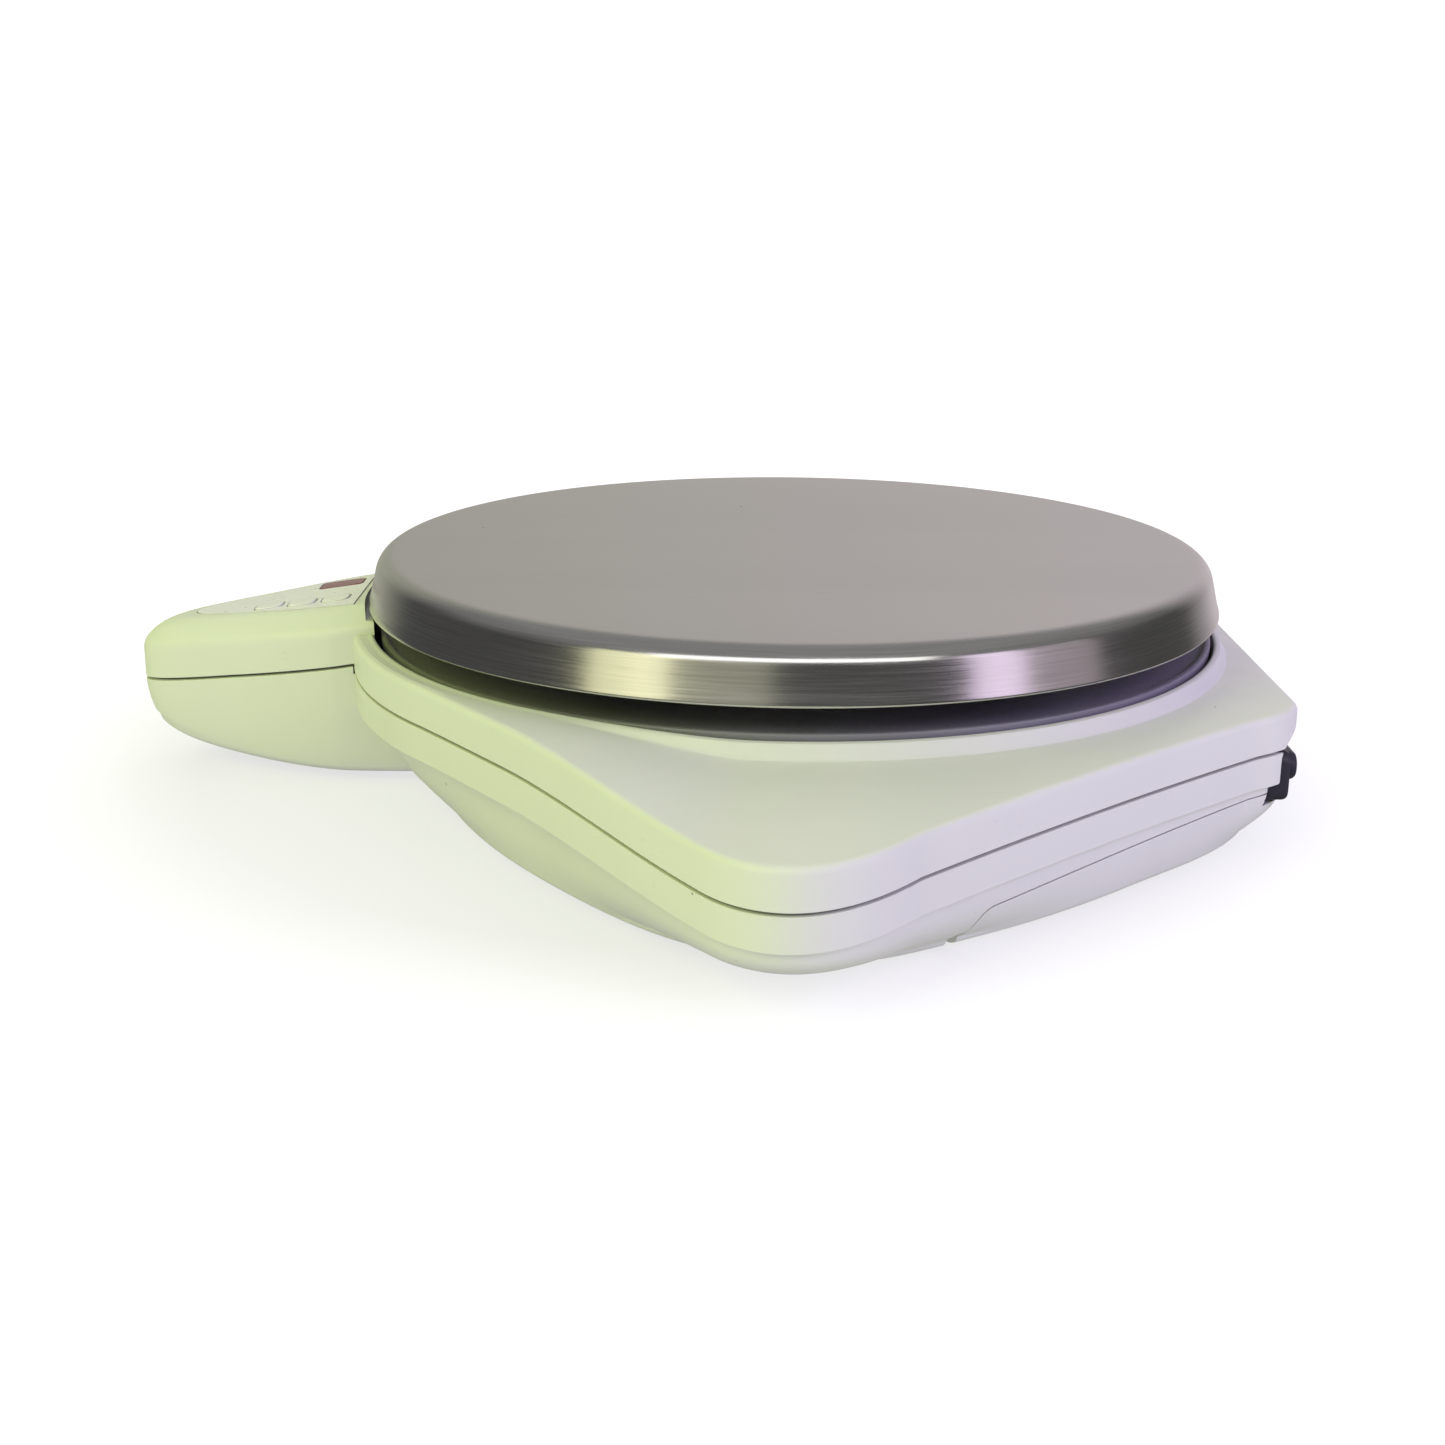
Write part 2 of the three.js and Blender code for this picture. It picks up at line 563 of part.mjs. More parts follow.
// name, place on the face, width and depth of each key; the display lies beyond them from the user
const KEYS = [
  ['key_inner', 7.2, 12.2, 6, 6.4],
  ['key_middle', 7, 4, 6, 6.4],
  ['key_outer', 5.6, -4.2, 6, 6.4],
];
const WINDOW = [-9.2, 10.8, 6.6, 10.4]; // place on the face, width and depth
const BOARD_SCREWS = [-10, 13]; // places along the face
const BOARD_X = -0.7;

// from face coordinates to the frame of the pan
const onFace = (manifold) => manifold.rotate([THREE.MathUtils.radToDeg(SLOPE), 0, 0])
  .translate([0, FACE_Y, tongueFace(FACE_Y)]);

const windowShape = (slack) => roundedRect(WINDOW[2] + slack, WINDOW[3] + slack, 1, WINDOW[0], WINDOW[1]);
const keyShape = ([, x, y, width, depth], slack) => roundedRect(width + slack, depth + slack, 1.6, x, y);

function faceOpenings() {
  const keys = KEYS.map((key) => plate(keyShape(key, 0.7), -4, 2, 3));
  return [plate(windowShape(0.7), -4, 2, 3), ...keys].map(onFace);
}

const boardPosts = () => BOARD_SCREWS.map((y) => onFace(
  cut(post(BOARD_X, y, -6.1, -2, 2.1, 12), post(BOARD_X, y, -6.5, -3.4, 1.3, 10)),
));

// outline of the printed film, on the face; `slack` widens it to the shallow pocket that takes it
function filmShape(slack) {
  const outline = drawnIn(BEVEL + 0.8 - slack, -5.9 + slack, 13.5 - slack);
  return new THREE.Shape(outline.map((p) => new THREE.Vector2(p.x, (p.y - FACE_Y) / Math.cos(SLOPE))));
}

const overlayPocket = () => onFace(plate(filmShape(0.3), -0.5, 2));

function keypadOverlay() {
  const sheet = plate(filmShape(0), -0.2, 0.15);
  const keyHoles = KEYS.map((key) => plate(keyShape(key, 0.7), -1, 2, 3));
  return cut(sheet, plate(windowShape(0.7), -1, 2, 3), ...keyHoles);
}

function mainBoard() {
  const corners = [[-18, 15.4], [18, 15.4], [8.5, -19.5], [-8.5, -19.5]];
  const board = plate(new THREE.Shape(corners.map(([x, y]) => new THREE.Vector2(x, y))), -8, -6.4);
  return cut(board, ...BOARD_SCREWS.map((y) => post(BOARD_X, y, -9, -6, 1.3, 10)));
}

// ---- cables -------------------------------------------------------------------------------------
function cable(points, radius) {
  const section = new THREE.Shape().absarc(0, 0, radius, 0, 2 * Math.PI);
  const path = new THREE.CatmullRomCurve3(points);
  return solid(new THREE.ExtrudeGeometry(section, { extrudePath: path, steps: 22, curveSegments: 4 }));
}

const at = (x, y, z) => new THREE.Vector3(x, y, z);

const loadCellCable = () => cable([
  at(-33, 0, 15.3), at(-42, -14, 14), at(-46, -42, 11), at(-28, -70, 10), at(-9, -90, 13),
  at(-5, -101, 16.5), at(-4, -108, 22), at(-4, -111, 31),
], 1.2);

const batteryCable = () => cable([
  bayPoint(48.6, -20, 14), bayPoint(46, -34, 12), at(58, -22, 10), at(44, -48, 9), at(22, -76, 10),
  at(9, -91, 13), at(5, -101, 16.5), at(4, -108, 22), at(4, -111, 31),
], 1.2);

// ---- the scale ----------------------------------------------------------------------------------
const scale = new THREE.Group();
scale.position.y = PAN_Y;

const consoleFace = new THREE.Group();
consoleFace.position.set(0, FACE_Y, tongueFace(FACE_Y));
consoleFace.rotation.x = SLOPE;
scale.add(consoleFace);

function add(name, manifold, material, parent = scale) {
  const mesh = new THREE.Mesh(geometryOf(manifold), material);
  mesh.name = name;
  parent.add(mesh);
}

function addWeighing() {
  add('pan', pan(), steel());
  add('pan_carrier', carrier(), greyPlastic());
  padPlaces().forEach(([x, y], i) => add(`pan_pad_${i + 1}`, post(x, y, 50.1, 52.3, 5.6, 16), rubber()));
  CARRIER_SCREWS.forEach((x, i) => add(`carrier_screw_${i + 1}`, screw(x, 0, 33.2, 31.3, 22.6), zinc()));
  add('free_end_spacer', spacer([14, -8, 22.1], [32, 8, 24], CARRIER_SCREWS), aluminium());
  add('load_cell', loadCell(), aluminium());
  add('gauge_coating', plate(roundedRect(22, 12, 3), 21.6, 22.4, 4), finish(0xe9e7e0, 0.7));
  add('fixed_end_spacer', spacer([-32, -8, 7.8], [-14, 8, 9], CELL_SCREWS), aluminium());
  add('base_plate', basePlate(), zinc());
  CELL_SCREWS.forEach((x, i) => add(`cell_screw_${i + 1}`, screw(x, 0, 4.7, 6.4, 16, 3, 1.6), zinc()));
  PLATE_SCREWS.forEach(([x, y], i) => add(`plate_screw_${i + 1}`, screw(x, y, 9.6, 7.8, 2.8), zinc()));
  add('overload_stop', post(27, 0, 5, 8.5, 2, 12), zinc());
  add('load_cell_cable', loadCellCable(), finish(0x9b9b98, 0.6));
}

function addHousings() {
  add('top_housing', topHousing(), shellPlastic());
  add('bottom_housing', bottomHousing(), shellPlastic());
  SCREWS.forEach(([x, y], i) => add(`housing_screw_${i + 1}`, screw(x, y, 5.4, 7.6, 20, 3.2), zinc()));
  FEET.forEach(([x, y], i) => add(`foot_${i + 1}`, foot(x, y), rubber()));
}

function addPower() {
  add('battery_door', batteryDoor(), shellPlastic());
  add('battery_tray', batteryTray(), darkPlastic());
  for (let i = 0; i < CELL_COUNT; i += 1) {
    add(`battery_cell_${i + 1}`, batteryCell(i), finish(0x4a4f57, 0.35, 0.3));
  }
  add('contact_strip_inner', contactStrip(false), zinc());
  add('contact_strip_outer', contactStrip(true), zinc());
  add('battery_cable', batteryCable(), finish(0x7a2420, 0.6));
  add('dc_socket', dcSocket(), darkPlastic());
  add('socket_cover', socketCover(), darkPlastic());
}

function addConsole() {
  const put = (name, manifold, material) => add(name, manifold, material, consoleFace);
  put('keypad_overlay', keypadOverlay(), finish(0xe3e2de, 0.35));
  put('display_window', plate(windowShape(0), -1.8, 0.2, 3), finish(0x5d2f35, 0.1));
  put('lcd_panel', block([-13.2, 5.2, -5.2], [-5.2, 16, -2.6]), finish(0x8f9a86, 0.2));
  put('lcd_connector', block([-7.4, 5.6, -6.1], [-5.6, 15, -5.5]), finish(0xc7a06a, 0.8));
  put('main_board', mainBoard(), finish(0x2e5a3a, 0.5));
  put('controller_chip', block([0, -6, -9.3], [7, 1, -8.3]), finish(0x202020, 0.5));
  put('buzzer', post(-8, -3, -11.4, -8.3, 4.2, 16), finish(0x1d1d1f, 0.5));
  KEYS.forEach((key) => {
    const [name, x, y] = key;
    put(name, plate(keyShape(key, 0), -2.6, 0.45, 3), finish(0xc9ccd0, 0.4));
    put(`switch_${name.slice(4)}`, block([x - 2.8, y - 2.8, -6.1], [x + 2.8, y + 2.8, -3.2]), darkPlastic());
  });
  BOARD_SCREWS.forEach((y, i) => {
    put(`board_screw_${i + 1}`, screw(BOARD_X, y, -9.6, -8.3, -4, 2.1, 1), zinc());
  });
}

addWeighing();
addHousings();
addPower();
addConsole();

export default scale;
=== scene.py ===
"""Looks for the compact bench scale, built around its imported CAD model. Lengths are in millimetres around the
pan's centre until put() brings them into the frame: +X the user, -Y the console, +Y the flat end, Z up."""

import json
import math

import bmesh
import bpy
import numpy as np
from mathutils import Matrix, Vector


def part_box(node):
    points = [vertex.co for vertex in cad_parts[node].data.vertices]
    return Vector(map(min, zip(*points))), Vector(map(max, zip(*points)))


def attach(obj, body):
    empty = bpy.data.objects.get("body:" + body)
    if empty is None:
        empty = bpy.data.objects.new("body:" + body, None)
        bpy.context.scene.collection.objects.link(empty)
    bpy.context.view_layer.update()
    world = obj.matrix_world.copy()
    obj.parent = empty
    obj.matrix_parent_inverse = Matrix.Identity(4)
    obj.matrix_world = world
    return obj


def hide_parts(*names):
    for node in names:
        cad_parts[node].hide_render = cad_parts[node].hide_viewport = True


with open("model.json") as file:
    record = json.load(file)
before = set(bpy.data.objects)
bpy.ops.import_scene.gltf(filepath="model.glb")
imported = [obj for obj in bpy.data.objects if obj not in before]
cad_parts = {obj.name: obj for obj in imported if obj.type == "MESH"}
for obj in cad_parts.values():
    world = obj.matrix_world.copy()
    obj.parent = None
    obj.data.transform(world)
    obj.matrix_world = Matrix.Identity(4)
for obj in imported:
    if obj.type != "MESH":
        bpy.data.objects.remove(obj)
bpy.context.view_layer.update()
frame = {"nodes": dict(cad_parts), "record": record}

MM = 0.001
NODES = frame["nodes"]
PAN_LOW, PAN_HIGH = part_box("pan")
PAN_Y = (PAN_LOW.y + PAN_HIGH.y) / 2

# ---- dimensions shared with the CAD model, in millimetres ---------------------------------------
GAP = 0.3
WALL = 2.3
RING_R = 104.0
RIM_R = 99.3
WELL_FLOOR = 27.0
WELL_OPENING_R = 38.0
BACK_Y = 107.5
SEAM = (22.7, 27.6)
BAND = (15.4, 19.9)
CREASE = (31.2, 36.4)
FOOT = (32.0, 36.5)
RIM = (35.4, 36.8)
HULL_Z = 1.5
HULL_FLOOR = 4.2
TONGUE_TIP = -156.3
TONGUE_ROOT = -96.3
ROOT_HALF = 23.5
LEAN = 0.147
SLOPE = math.atan(LEAN)
HEIGHTS_AT = -100
FACE_AT_ROOT = 42.5
CREASE_AT_ROOT = 38.7
CREASE_FALL = 0.164
KEEL_LOW, KEEL_RISE, KEEL_CURL = 2, 6.8, 3
CONSOLE_MIDDLE = -118
BEVEL = 6.5
NOSE = 8.0
SIDE_HEIGHT = 9.1
FACE_Y = -120.0
SCREWS = [(72, -46), (-72, -46), (20, 88), (-20, 88)]
FEET = [(106, -10), (-106, -10), (0, -72), (0, 86)]
PLATE_SCREWS = [(38, 18), (-38, -18)]
CARRIER_SCREWS = [19, 27]
BOARD_SCREWS = [-10, 13]
BOARD_X = -0.7
KEY_SIZE = (6, 6.4)
KEYS = {
    "key_inner": (7.2, 12.2, *KEY_SIZE),
    "key_middle": (7, 4, *KEY_SIZE),
    "key_outer": (5.6, -4.2, *KEY_SIZE),
}
WINDOW = (-9.2, 10.8, 6.6, 10.4)
KEY_CORNER, WINDOW_CORNER = 1.6, 1.0
OPENING_SLACK = 0.7
BAY_ANGLE = math.radians(42.8)
DOOR_FROM, DOOR_TO, DOOR_INNER, DOOR_TOP = -61, 33.5, 53, (10.3, 13.5)
SOCKET_X, SOCKET_Z, SOCKET_BORE = 54, 16.2, 3.2
ARCH_HALF, ARCH_LOW, ARCH_SPRING, ARCH_RISE = 10, 10.5, 20.5, 6.5
COVER_Z, GRIP_Z = 16.6, 17.6
SCREW_BORE, PLATE_SCREW_BORE, BOARD_SCREW_BORE = 1.8, 1.9, 1.3
BOSS_LOW, BOSS_R = 12.4, 4
PILLAR_TOP, PILLAR_R, HEAD_ROOM_R = 12, 5.4, 3.7
FOOT_RECESS_R = 9.3
CARRIER_SHIFT = 0.5
STEM_AT = 49.5
NOTCH_Z, NOTCH_R = 39.6, 100.9
ABOVE_ALL = 60


# ---- plan curves --------------------------------------------------------------------------------
def bezier(points, steps):
    """steps + 1 points along the Bezier curve with these control points."""
    t = np.linspace(0, 1, steps + 1)[:, None]
    layer = [np.array(p, float)[None, :] * np.ones_like(t) for p in points]
    while len(layer) > 1:
        layer = [a * (1 - t) + b * t for a, b in zip(layer, layer[1:])]
    return layer[0]


def mirrored(half):
    """The right half runs from the back to the front; the left half mirrors it."""
    return np.vstack([half, half[-2:0:-1] * [-1, 1]])


def body_outline():
    cheek = 0.67
    corner = (RING_R * math.sin(cheek), -RING_R * math.cos(cheek))
    parts = [
        bezier([(0, BACK_Y), (54, BACK_Y)], 14),
        bezier([(54, BACK_Y), (62, BACK_Y), (68.5, 96.5)], 12),
        bezier([(68.5, 96.5), (90.5, 70.2), (114.8, 44.3), (140, 19)], 34),
        bezier([(140, 19), (171.5, -4), (146, -21.5)], 30),
        bezier([(146, -21.5), (128, -35.3), (74.5, -73.5), corner], 34),
    ]
    turn = np.linspace(cheek, 0, 31)
    parts.append(np.column_stack([RING_R * np.sin(turn), -RING_R * np.cos(turn)]))
    return mirrored(np.vstack([parts[0]] + [p[1:] for p in parts[1:]]))


def closed_curve(points, steps):
    """Smooth closed curve through the points, eased by the square root of their spacing."""
    p = [np.array(q, float) for q in points]
    out = []
    for i in range(len(p)):
        a, b, c, d = p[i - 1], p[i], p[(i + 1) % len(p)], p[(i + 2) % len(p)]
        k0, k1, k2 = (math.sqrt(np.linalg.norm(v)) for v in (b - a, c - b, d - c))
        m1 = ((b - a) / k0 - (c - a) / (k0 + k1) + (c - b) / k1) * k1
        m2 = ((c - b) / k1 - (d - b) / (k1 + k2) + (d - c) / k2) * k1
        for t in np.arange(steps) / steps:
            cubic = (-3 * b + 3 * c - 2 * m1 - m2) * t**2 + (2 * b - 2 * c + m1 + m2) * t**3
            out.append(b + m1 * t + cubic)
    return np.array(out)


def hull_outline(body):
    """The underside's rounder outline, taken along the body outline's directions."""
    right = [(55, 98), (90, 67), (116, 34), (130, 5), (122, -22), (87.5, -54), (49, -75.5)]
    left = [(-x, y) for x, y in reversed(right)]
    fine = closed_curve([(0, 101.5), *right, (0, -87), *left], 60)
    angle = np.arctan2(fine[:, 1], fine[:, 0])
    order = np.argsort(angle)
    reach = np.interp(
        np.arctan2(body[:, 1], body[:, 0]), angle[order], np.hypot(*fine[order].T), period=2 * math.pi
    )
    return body / np.hypot(*body.T)[:, None] * reach[:, None]


# a hair narrower across, so that the finer curve stays inside the CAD model's box
SNUG = 0.9999
BODY = body_outline() * [SNUG, 1]
HULL = hull_outline(BODY)


def circle(radius):
    return BODY / np.hypot(*BODY.T)[:, None] * radius


def between(a, b, t):
    return a + (b - a) * t


def inset(ring, distance):
    """Clockwise ring moved inwards, square to its own edge."""
    along = np.roll(ring, -1, 0) - np.roll(ring, 1, 0)
    along /= np.hypot(*along.T)[:, None]
    return ring + np.column_stack([along[:, 1], -along[:, 0]]) * distance


def smoothstep(x, low, high):
    t = np.clip((x - low) / (high - low), 0, 1)
    return t * t * (3 - 2 * t)


FRONTNESS = 1 - smoothstep(BODY[:, 1], -60, -15)


def high(pair, dz=0.0):
    """Height round the body from a (side and back, front) pair."""
    return pair[0] + (pair[1] - pair[0]) * FRONTNESS + dz


def lift(ring, z):
    return np.column_stack([ring, np.ones(len(ring)) * z])


def middle(x, y, z):
    return np.array([[x, y, z]], float)


def tongue_outline():
    parts = [
        bezier([(0, TONGUE_ROOT), (ROOT_HALF, TONGUE_ROOT)], 8),
        bezier([(ROOT_HALF, TONGUE_ROOT), (23.2, -106)], 4),
        bezier([(23.2, -106), (22.3, -113), (19.2, -123), (16, -131)], 18),
        bezier([(16, -131), (11.5, -143.5), (7, TONGUE_TIP), (0, TONGUE_TIP)], 30),
    ]
    return mirrored(np.vstack([parts[0]] + [p[1:] for p in parts[1:]]))


TONGUE = tongue_outline()


def crease_z(y):
    return CREASE_AT_ROOT + (y - HEIGHTS_AT) * CREASE_FALL


def seam_z(y):
    return crease_z(y) - SIDE_HEIGHT


def face_z(y):
    return FACE_AT_ROOT + (y - HEIGHTS_AT) * LEAN


def keel_z(y):
    t = np.clip((y - HEIGHTS_AT) / (TONGUE_TIP - HEIGHTS_AT), 0, 1)
    return KEEL_LOW + KEEL_RISE * t**2 + KEEL_CURL * t**8


def console_middle(z, rise=0.0):
    """The one point that closes an end of the console's stack of rings."""
    return middle(0, CONSOLE_MIDDLE, z(CONSOLE_MIDDLE) + rise)


def drawn_in(distance, root_shift=0.0, nose=None):
    """The console's outline, narrower by a distance, with its root moved and its nose drawn in."""
    nose = distance if nose is None else nose
    root = TONGUE_ROOT + root_shift
    x = TONGUE[:, 0] * (1 - distance / ROOT_HALF)
    y = TONGUE_ROOT + (TONGUE[:, 1] - TONGUE_ROOT) * (1 - nose / (TONGUE_ROOT - TONGUE_TIP))
    at_root = TONGUE[:, 1] > TONGUE_ROOT - 0.1
    return np.column_stack([x, np.where(at_root, root, np.minimum(y, root - 0.4))])


# ---- meshes -------------------------------------------------------------------------------------
def put(points):
    """From millimetres around the pan's centre to metres in the frame."""
    return np.asarray(points, float) * MM + [0, PAN_Y, 0]


def mesh_piece(name, points, faces):
    mesh = bpy.data.meshes.new(name)
    mesh.from_pydata([tuple(p) for p in put(points)], [], faces)
    b = bmesh.new()
    b.from_mesh(mesh)
    bmesh.ops.remove_doubles(b, verts=b.verts, dist=1e-7)
    bmesh.ops.dissolve_degenerate(b, edges=b.edges, dist=1e-8)
    bmesh.ops.recalc_face_normals(b, faces=b.faces)
    b.to_mesh(mesh)
    b.free()
    piece = bpy.data.objects.new(name, mesh)
    bpy.context.scene.collection.objects.link(piece)
    return piece


def skin(name, rings, loop=False):
    """Skin through a stack of rings of equal counts. A ring of one point closes an end."""
    rings = [np.asarray(r, float) for r in rings]
    starts = np.cumsum([0] + [len(r) for r in rings])
    faces = []
    for k in range(len(rings) if loop else len(rings) - 1):
        n = (k + 1) % len(rings)
        count = max(len(rings[k]), len(rings[n]))
        for i in range(count):
            j = (i + 1) % count
            a, b = starts[k] + i % len(rings[k]), starts[k] + j % len(rings[k])
            c, d = starts[n] + j % len(rings[n]), starts[n] + i % len(rings[n])
            corners = [int(v) for v in (a, b, c, d)]
            face = [v for m, v in enumerate(corners) if v not in corners[:m]]
            if len(face) > 2:
                faces.append(face)
    return mesh_piece(name, np.vstack(rings), faces)


def turned(name, profile, sides=96, at=(0, 0)):
    """Body of revolution about an upright axis through [radius, height] points."""
    turn = np.arange(sides) / sides * 2 * math.pi
    rings = []
    for r, z in profile:
        if r == 0:
            rings.append(middle(at[0], at[1], z))
        else:
            circle_at = np.column_stack([at[0] + r * np.sin(turn), at[1] + r * np.cos(turn)])
            rings.append(lift(circle_at, z))
    return skin(name, rings)


def post(x, y, z0, z1, radius, sides=48):
    return turned("post", [(0, z0), (radius, z0), (radius, z1), (0, z1)], sides, (x, y))


def rounded_rect(cx, cy, width, height, radius, steps=8):
    turn = np.linspace(0, math.pi / 2, steps + 1)
    arc = np.column_stack([np.cos(turn), np.sin(turn)]) * radius
    w, h = width / 2 - radius, height / 2 - radius
    quarters = []
    for k, (sx, sy) in enumerate([(1, 1), (-1, 1), (-1, -1), (1, -1)]):
        c, s = math.cos(k * math.pi / 2), math.sin(k * math.pi / 2)
        spun = arc @ np.array([[c, s], [-s, c]])
        quarters.append(spun + [cx + sx * w, cy + sy * h])
    return np.vstack(quarters)


def prism(name, outline, low, top, axis="z"):
    """Flat outline pulled along an axis from low to top; for x its points are (y, z), for y (x, z)."""
    order = {"z": (0, 1, 2), "y": (0, 2, 1), "x": (2, 0, 1)}[axis]
    layers = []
    for level in (low, top):
        flat = np.column_stack([outline, np.full(len(outline), level)])
        layers.append(flat[:, order])
    n = len(outline)
    sides = [[i, (i + 1) % n, n + (i + 1) % n, n + i] for i in range(n)]
    return mesh_piece(name, np.vstack(layers), sides + [list(range(n)), list(range(n, 2 * n))])


def block(low, top):
    """Box between its lowest and its highest corner."""
    outline = [(low[0], low[1]), (top[0], low[1]), (top[0], top[1]), (low[0], top[1])]
    return prism("block", np.array(outline, float), low[2], top[2])


def settle(piece):
    """Takes a piece's modifiers into its mesh."""
    bpy.context.view_layer.update()
    deps = bpy.context.evaluated_depsgraph_get()
    mesh = bpy.data.meshes.new_from_object(piece.evaluated_get(deps))
    piece.modifiers.clear()
    old, piece.data = piece.data, mesh
    bpy.data.meshes.remove(old)
    return piece


def combine(piece, operation, *others):
    """Boolean of a piece with others that are used up."""
    for other in others:
        step = piece.modifiers.new("step", "BOOLEAN")
        step.operation = operation
        step.object = other
        step.solver = "MANIFOLD"
        settle(piece)
        bpy.data.objects.remove(other)
    return piece


def add(piece, *others):
    return combine(piece, "UNION", *others)


def cut(piece, *others):
    return combine(piece, "DIFFERENCE", *others)


def spun(piece, angle):
    """Turned about the pan's upright axis."""
    centre = Matrix.Translation((0, PAN_Y, 0))
    piece.data.transform(centre @ Matrix.Rotation(angle, 4, "Z") @ centre.inverted())
    return piece


def on_face(piece):
    """From coordinates that lie on the console's sloping face."""
    centre = Matrix.Translation((0, PAN_Y, 0))
    place = Matrix.Translation((0, PAN_Y + FACE_Y * MM, float(face_z(FACE_Y)) * MM))
    piece.data.transform(place @ Matrix.Rotation(SLOPE, 4, "X") @ centre.inverted())
    return piece


def smooth_shaded(piece, angle=30.0, weighted=True):
    mesh = piece.data
    mesh.polygons.foreach_set("use_smooth", [True] * len(mesh.polygons))
    mesh.set_sharp_from_angle(angle=math.radians(angle))
    if weighted:
        normals = piece.modifiers.new("normals", "WEIGHTED_NORMAL")
        normals.keep_sharp = True
        settle(piece)
    return piece


# ---- materials ----------------------------------------------------------------------------------
def color_ramp(tree, source, stops):
    """Ramp through (place, grey or colour) stops."""
    node = tree.nodes.new("ShaderNodeValToRGB")
    while len(node.color_ramp.elements) < len(stops):
        node.color_ramp.elements.new(0.5)
    for element, (place, value) in zip(node.color_ramp.elements, stops):
        element.position = place
        element.color = (*value, 1) if isinstance(value, tuple) else (value, value, value, 1)
    tree.links.new(source, node.inputs["Fac"])
    return node.outputs["Color"]


class Surface:
    """A node material on the Principled shader, with a helper for each kind of node it uses."""

    def __init__(self, name, metallic, roughness):
        self.material = bpy.data.materials.new(name)
        self.material.use_nodes = True
        self.nodes = self.material.node_tree.nodes
        self.links = self.material.node_tree.links
        self.shader = self.nodes["Principled BSDF"]
        self.shader.inputs["Metallic"].default_value = metallic
        self.shader.inputs["Roughness"].default_value = roughness
        self.where = self.nodes.new("ShaderNodeTexCoord").outputs["Object"]

    def noise(self, scale, detail=2.0, stretch=(1, 1, 1)):
        place = self.nodes.new("ShaderNodeMapping")
        place.inputs["Scale"].default_value = stretch
        self.links.new(self.where, place.inputs["Vector"])
        texture = self.nodes.new("ShaderNodeTexNoise")
        texture.inputs["Scale"].default_value = scale
        texture.inputs["Detail"].default_value = detail
        self.links.new(place.outputs["Vector"], texture.inputs["Vector"])
        return texture.outputs["Fac"]

    def ramp(self, source, stops):
        return color_ramp(self.material.node_tree, source, stops)

    def maths(self, operation, a, b):
        node = self.nodes.new("ShaderNodeMath")
        node.operation = operation
        for socket, value in zip(node.inputs, (a, b)):
            if isinstance(value, (int, float)):
                socket.default_value = value
            else:
                self.links.new(value, socket)
        return node.outputs[0]

    def mix(self, factor, a, b):
        node = self.nodes.new("ShaderNodeMix")
        node.data_type = "RGBA"
        for socket, value in ((node.inputs["Factor"], factor), (node.inputs["A"], a), (node.inputs["B"], b)):
            if isinstance(value, tuple):
                socket.default_value = (*value, 1)
            else:
                self.links.new(value, socket)
        return node.outputs["Result"]

    def bump(self, height, strength, distance=0.0002):
        node = self.nodes.new("ShaderNodeBump")
        node.inputs["Strength"].default_value = strength
        node.inputs["Distance"].default_value = distance
        self.links.new(height, node.inputs["Height"])
        self.links.new(node.outputs["Normal"], self.shader.inputs["Normal"])

    def color(self, source):
        self.links.new(source, self.shader.inputs["Base Color"])

    def rough(self, source):
        self.links.new(source, self.shader.inputs["Roughness"])


def shade(color, k):
    return tuple(min(1.0, c * k) for c in color)


def grained(name, color, roughness, metallic=0.0, grain=1800, depth=0.1, tint=0.05, spread=0.06,
            stretch=(1, 1, 1)):
    """Moulded or rolled surface: fine grain in its height and gloss, slow drift in its colour."""
    s = Surface(name, metallic, roughness)
    drift = s.noise(35, 3.0)
    s.color(s.ramp(drift, [(0.3, shade(color, 1 - tint)), (0.7, shade(color, 1 + tint))]))
    fine = s.noise(grain, 2.0, stretch)
    s.rough(s.ramp(fine, [(0.3, max(0.02, roughness - spread)), (0.7, min(1.0, roughness + spread))]))
    s.bump(fine, depth)
    return s.material


def shell_plastic():
    """Off-white moulded plastic, satin, with handling marks and a few specks of dirt."""
    s = Surface("shell_plastic", 0.0, 0.4)
    drift = s.ramp(s.noise(18, 3.0), [(0.3, (0.512, 0.530, 0.468)), (0.7, (0.534, 0.552, 0.490))])
    specks = s.ramp(s.noise(520, 0.0), [(0.0, 1.0), (0.07, 1.0), (0.08, 0.0), (1.0, 0.0)])
    scuffs = s.maths("MULTIPLY", s.ramp(s.noise(900, 4.0, (1, 0.12, 1)), [(0.62, 0.0), (0.72, 1.0)]),
                     s.ramp(s.noise(60, 1.0), [(0.66, 0.0), (0.74, 0.35)]))
    marked = s.mix(scuffs, drift, (0.42, 0.41, 0.40))
    s.color(s.mix(specks, marked, (0.12, 0.10, 0.08)))
    s.rough(s.ramp(s.noise(90, 5.0), [(0.3, 0.34), (0.7, 0.46)]))
    s.bump(s.noise(2600, 2.0), 0.06, 0.0001)
    return s.material


